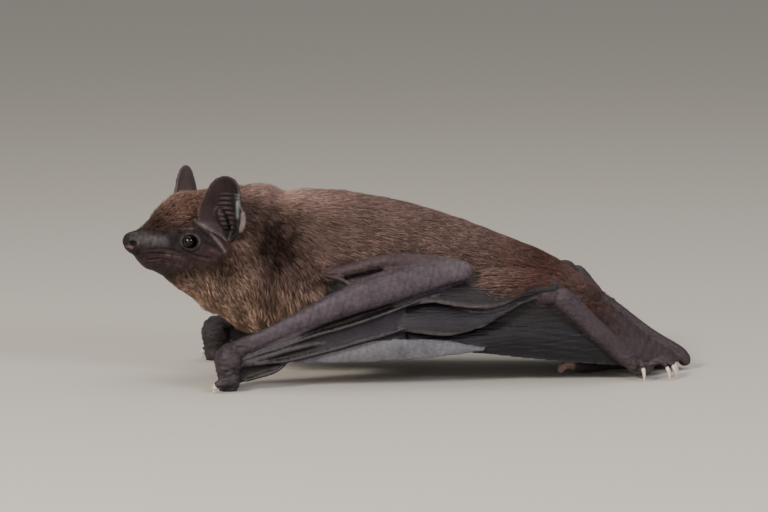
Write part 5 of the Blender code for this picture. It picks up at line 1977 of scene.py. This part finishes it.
def add_piece(mesh: bpy.types.Mesh, name: str, materials: list,
              replaces: list | tuple = ()) -> None:
    """Puts a finished mesh in the scene as a piece of the animal.

    Args:
        mesh: the mesh, in metres.
        name: the piece's name.
        materials: its materials, in the order of its faces' indices.
        replaces: the nodes of the frame that it stands for.
    """
    piece = bpy.data.objects.new(name, mesh)
    bpy.context.scene.collection.objects.link(piece)
    for material in materials:
        mesh.materials.append(material)
    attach(piece, "root")
    if replaces:
        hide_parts(*replaces)
    log.info("%s: %d faces", name, len(mesh.polygons))


@dataclass(frozen=True)
class Bat:
    """The whole animal: its parts' sizes and the order in which they are made."""

    skin: Skin = Skin()
    coat: Coat = Coat()
    wings: tuple = (Wing(Side.LEFT), Wing(Side.RIGHT))
    legs: tuple = (HindLeg(Side.LEFT), HindLeg(Side.RIGHT))
    tail: Tail = Tail()
    thumb_steps: int = 60
    thumb_claw_from: int = 34
    thumb_claw_radii: tuple = (0.42, 0.36, 0.24, 0.06)
    toe_claw_radii: tuple = (0.3, 0.26, 0.17, 0.05)

    def build(self) -> None:
        """Makes every piece."""
        shells = TRUNK.shells() + self.tail.shells(list(self.legs))
        for side in Side:
            shells += EAR.shells(side)
        for limb in self.wings + self.legs:
            shells += limb.shells()
        mesh, origin = self.skin.build(shells)
        self.add_coat(mesh, origin)
        self.add_skin(mesh, origin)
        for side in Side:
            self.add_eye(side)
        self.add_claws()

    def add_coat(self, mesh: bpy.types.Mesh, origin: Origin) -> None:
        """Grows the coat on the skin and lays each tuft's corners out in a small patch for OFBake.

        Args:
            mesh: the skin, in millimetres.
            origin: where each of its vertices comes from.
        """
        tufts = self.coat.grow(mesh, self.coat.cover(read_points(mesh), read_normals(mesh), origin))
        fur = FUR.material()
        for name, (points, triangles, tone, corner) in self.coat.pieces(tufts).items():
            made = mesh_from(name, points, triangles)
            paint(made, tone[:, [0, 0, 0, 1, 1, 1, 2]].reshape(-1, 3))
            layout = made.uv_layers.new(name="OFBake")
            steps = np.array([(0, 0), (1, 0), (0.5, 0), (0, 0.5), (1, 0.5), (0.5, 0.5), (0.5, 1)])
            spots = (corner[:, None] + self.coat.patch * steps[None]).reshape(-1, 2)
            layout.data.foreach_set("uv", spots[triangles.ravel()].astype(np.float32).ravel())
            add_piece(made, name, [fur])

    def add_skin(self, mesh: bpy.types.Mesh, origin: Origin) -> None:
        """Paints the skin and sets it in the place of the nodes of flesh.

        Args:
            mesh: the skin, in millimetres, which is turned to metres.
            origin: where each of its vertices comes from.
        """
        points = read_points(mesh)
        paint(mesh, self.skin.colour(points, read_normals(mesh), origin))
        finishes = [SCALP, FACE_SKIN, EAR_SKIN, ARM_SKIN, WEB_SKIN, FOOT_SKIN]
        by_part = {Part.BODY: 0, Part.THIGH: 0, Part.EAR: 2, Part.ARM: 3, Part.FINGER: 3, Part.HAND_WEB: 4,
                   Part.ARM_WEB: 4, Part.SHIN: 5, Part.FOOT: 5, Part.TAIL_WEB: 5, Part.TAIL: 5}
        of_part = np.array([by_part[part] for part in Part])
        kind = of_part[origin.part]
        kind[origin.of(Part.BODY) & (bareness(points) > 0.0)] = 1
        first = read_rows(mesh.polygons, "loop_start", 1, np.int32)[:, 0]
        corners = read_rows(mesh.loops, "vertex_index", 1, np.int32)[:, 0]
        write_points(mesh, points * MM)
        mesh.shade_smooth()
        flesh = [name for name in frame["nodes"] if not name.startswith("eye_")]
        add_piece(mesh, "skin", [finish.material() for finish in finishes], flesh)
        mesh.polygons.foreach_set("material_index", kind[corners[first]].astype(np.int32))

    def add_eye(self, side: Side) -> None:
        """A dark wet eyeball with a slightly bulging cornea, at the place of the frame's own.

        Args:
            side: which eye.
        """
        low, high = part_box(side.label("eye"))
        centre = np.array((low + high) / 2) / MM
        centre += np.array([0.0, -0.05, 0.0]) @ TRUNK.head_axes(side)  # set back a little behind the lids
        bm = bmesh.new()
        bmesh.ops.create_uvsphere(bm, u_segments=48, v_segments=32, radius=FACE.eye_radius)
        mesh = bpy.data.meshes.new("eye")
        bm.to_mesh(mesh)
        bm.free()
        points = read_points(mesh)
        outward = TRUNK.head_axes(side)[1]
        facing = unit(points) @ outward
        points *= (1.0 + FACE.cornea_bulge * ramp(facing, 0.6, 1.0))[:, None]
        tone = tint(plain("iris", len(points)), "pupil", ramp(facing, 0.6, 0.8))
        write_points(mesh, (points + centre) * MM)
        paint(mesh, tone)
        mesh.shade_smooth()
        add_piece(mesh, side.label("eyeball"), [EYE.material()], [side.label("eye")])

    def add_claws(self) -> None:
        """The claws of thumbs and toes, one piece for each limb."""
        horn = HORN.material()
        for wing in self.wings:
            line = route(wing.thumb_line(), self.thumb_steps)[self.thumb_claw_from:]
            line[:, 2] = np.maximum(line[:, 2], 0.1)
            self.add_claw_piece(wing.side.label("thumb_claw"), [line], self.thumb_claw_radii, horn)
        for leg in self.legs:
            lines = [route(leg.toe_line(toe), leg.toe_steps)[leg.claw_from:] for toe in range(leg.toes)]
            self.add_claw_piece(leg.side.label("toe_claws"), lines, self.toe_claw_radii, horn)

    def add_claw_piece(self, name: str, lines: list[Array], radii: tuple, horn: bpy.types.Material) -> None:
        """Joins some claws into one piece.

        Args:
            name: the piece's name.
            lines: each claw's middle line.
            radii: a claw's radius at a few places from its root to its tip.
            horn: the material of all of them.
        """
        points, triangles, start = [], [], 0
        for line in lines:
            form = tube(Part.FOOT, line, radii, 14)
            points.append(form.points)
            for face in form.faces:
                fan = range(1, len(face) - 1)
                triangles += [(face[0] + start, face[k] + start, face[k + 1] + start) for k in fan]
            start += len(form.points)
        points = np.concatenate(points)
        mesh = mesh_from(name, points, np.array(triangles))
        paint(mesh, plain("claw", len(points)))
        add_piece(mesh, name, [horn])


# ---- Stage ----


@dataclass(frozen=True)
class Lamp:
    """A soft square light: where it stands, how wide it is, its power and its colour."""

    name: str
    place: tuple
    width: float
    power: float
    colour: str


@dataclass(frozen=True)
class Stage:
    """The plain pale floor, soft studio light and the camera; lengths in millimetres."""

    floor_width: float = 12000.0
    floor_colour: str = "#bdb8b0"
    floor_roughness: float = 0.9
    world_colour: str = "#d4d2cf"
    world_strength: float = 0.6
    aim: tuple = (-3.3, 0.0, 16.5)
    distance: float = 600.0
    elevation: float = math.radians(7.0)
    roll: float = math.radians(0.68)
    view_width: float = 107.5
    sensor: float = 36.0
    lamps: tuple = (
        Lamp("key", (-205.0, -285.0, 220.0), 90.0, 1.5, "#fff6ea"),
        Lamp("fill", (225.0, -265.0, 170.0), 90.0, 0.7, "#f4f5ff"),
        Lamp("top", (20.0, 60.0, 380.0), 300.0, 0.5, "#fff8f0"),
        Lamp("front", (-90.0, -420.0, 50.0), 260.0, 0.6, "#fff4e8"),
    )

    def build(self) -> None:
        """Sets up floor, lights and camera."""
        self.add_floor()
        for lamp in self.lamps:
            self.add_lamp(lamp)
        self.add_camera()
        world = bpy.data.worlds.new("studio")
        bpy.context.scene.world = world
        world.use_nodes = True
        background = world.node_tree.nodes["Background"]
        background.inputs["Color"].default_value = (*linear(self.world_colour), 1.0)
        background.inputs["Strength"].default_value = self.world_strength

    def add_floor(self) -> None:
        """A floor of pale matt paper at the level on which the animal rests."""
        bm = bmesh.new()
        bmesh.ops.create_grid(bm, x_segments=1, y_segments=1, size=self.floor_width * MM / 2)
        mesh = bpy.data.meshes.new("floor")
        bm.to_mesh(mesh)
        bm.free()
        floor = bpy.data.objects.new("floor", mesh)
        floor.location.z = CAD_BOX[0][2]
        bpy.context.scene.collection.objects.link(floor)
        paper = bpy.data.materials.new("paper_matt")
        paper.use_nodes = True
        shader = paper.node_tree.nodes["Principled BSDF"]
        shader.inputs["Base Color"].default_value = (*linear(self.floor_colour), 1.0)
        shader.inputs["Roughness"].default_value = self.floor_roughness
        mesh.materials.append(paper)

    def add_lamp(self, lamp: Lamp) -> None:
        """A soft area light that faces the animal.

        Args:
            lamp: what it is like.
        """
        light = bpy.data.lights.new(lamp.name, "AREA")
        light.shape = "SQUARE"
        light.size = lamp.width * MM
        light.energy = lamp.power
        light.color = tuple(linear(lamp.colour))
        holder = bpy.data.objects.new(lamp.name, light)
        place = Vector(lamp.place) * MM
        aim = Vector(self.aim) * MM
        holder.matrix_world = Matrix.LocRotScale(place, (aim - place).to_track_quat("-Z", "Y"), None)
        bpy.context.scene.collection.objects.link(holder)

    def add_camera(self) -> None:
        """A long lens that looks across the animal from its left, slightly from above."""
        ahead = Vector((0.0, math.cos(self.elevation), -math.sin(self.elevation)))
        right = Vector((1.0, 0.0, 0.0))
        up = right.cross(ahead)
        tilted = right * math.cos(self.roll) - up * math.sin(self.roll)
        up = tilted.cross(ahead)
        camera = bpy.data.cameras.new("camera")
        camera.sensor_width = self.sensor
        camera.lens = self.sensor * self.distance / self.view_width
        camera.clip_start = 0.01
        holder = bpy.data.objects.new("camera", camera)
        turn = Matrix((tilted, up, -ahead)).transposed()
        place = (Vector(self.aim) - ahead * self.distance) * MM
        holder.matrix_world = Matrix.Translation(place) @ turn.to_4x4()
        bpy.context.scene.collection.objects.link(holder)
        bpy.context.scene.camera = holder


def main() -> None:
    """Builds the animal and its stage and reports each piece."""
    logging.basicConfig(level=logging.INFO, format="%(name)s: %(message)s")
    Bat().build()
    Stage().build()


if __name__ == "__main__":
    main()
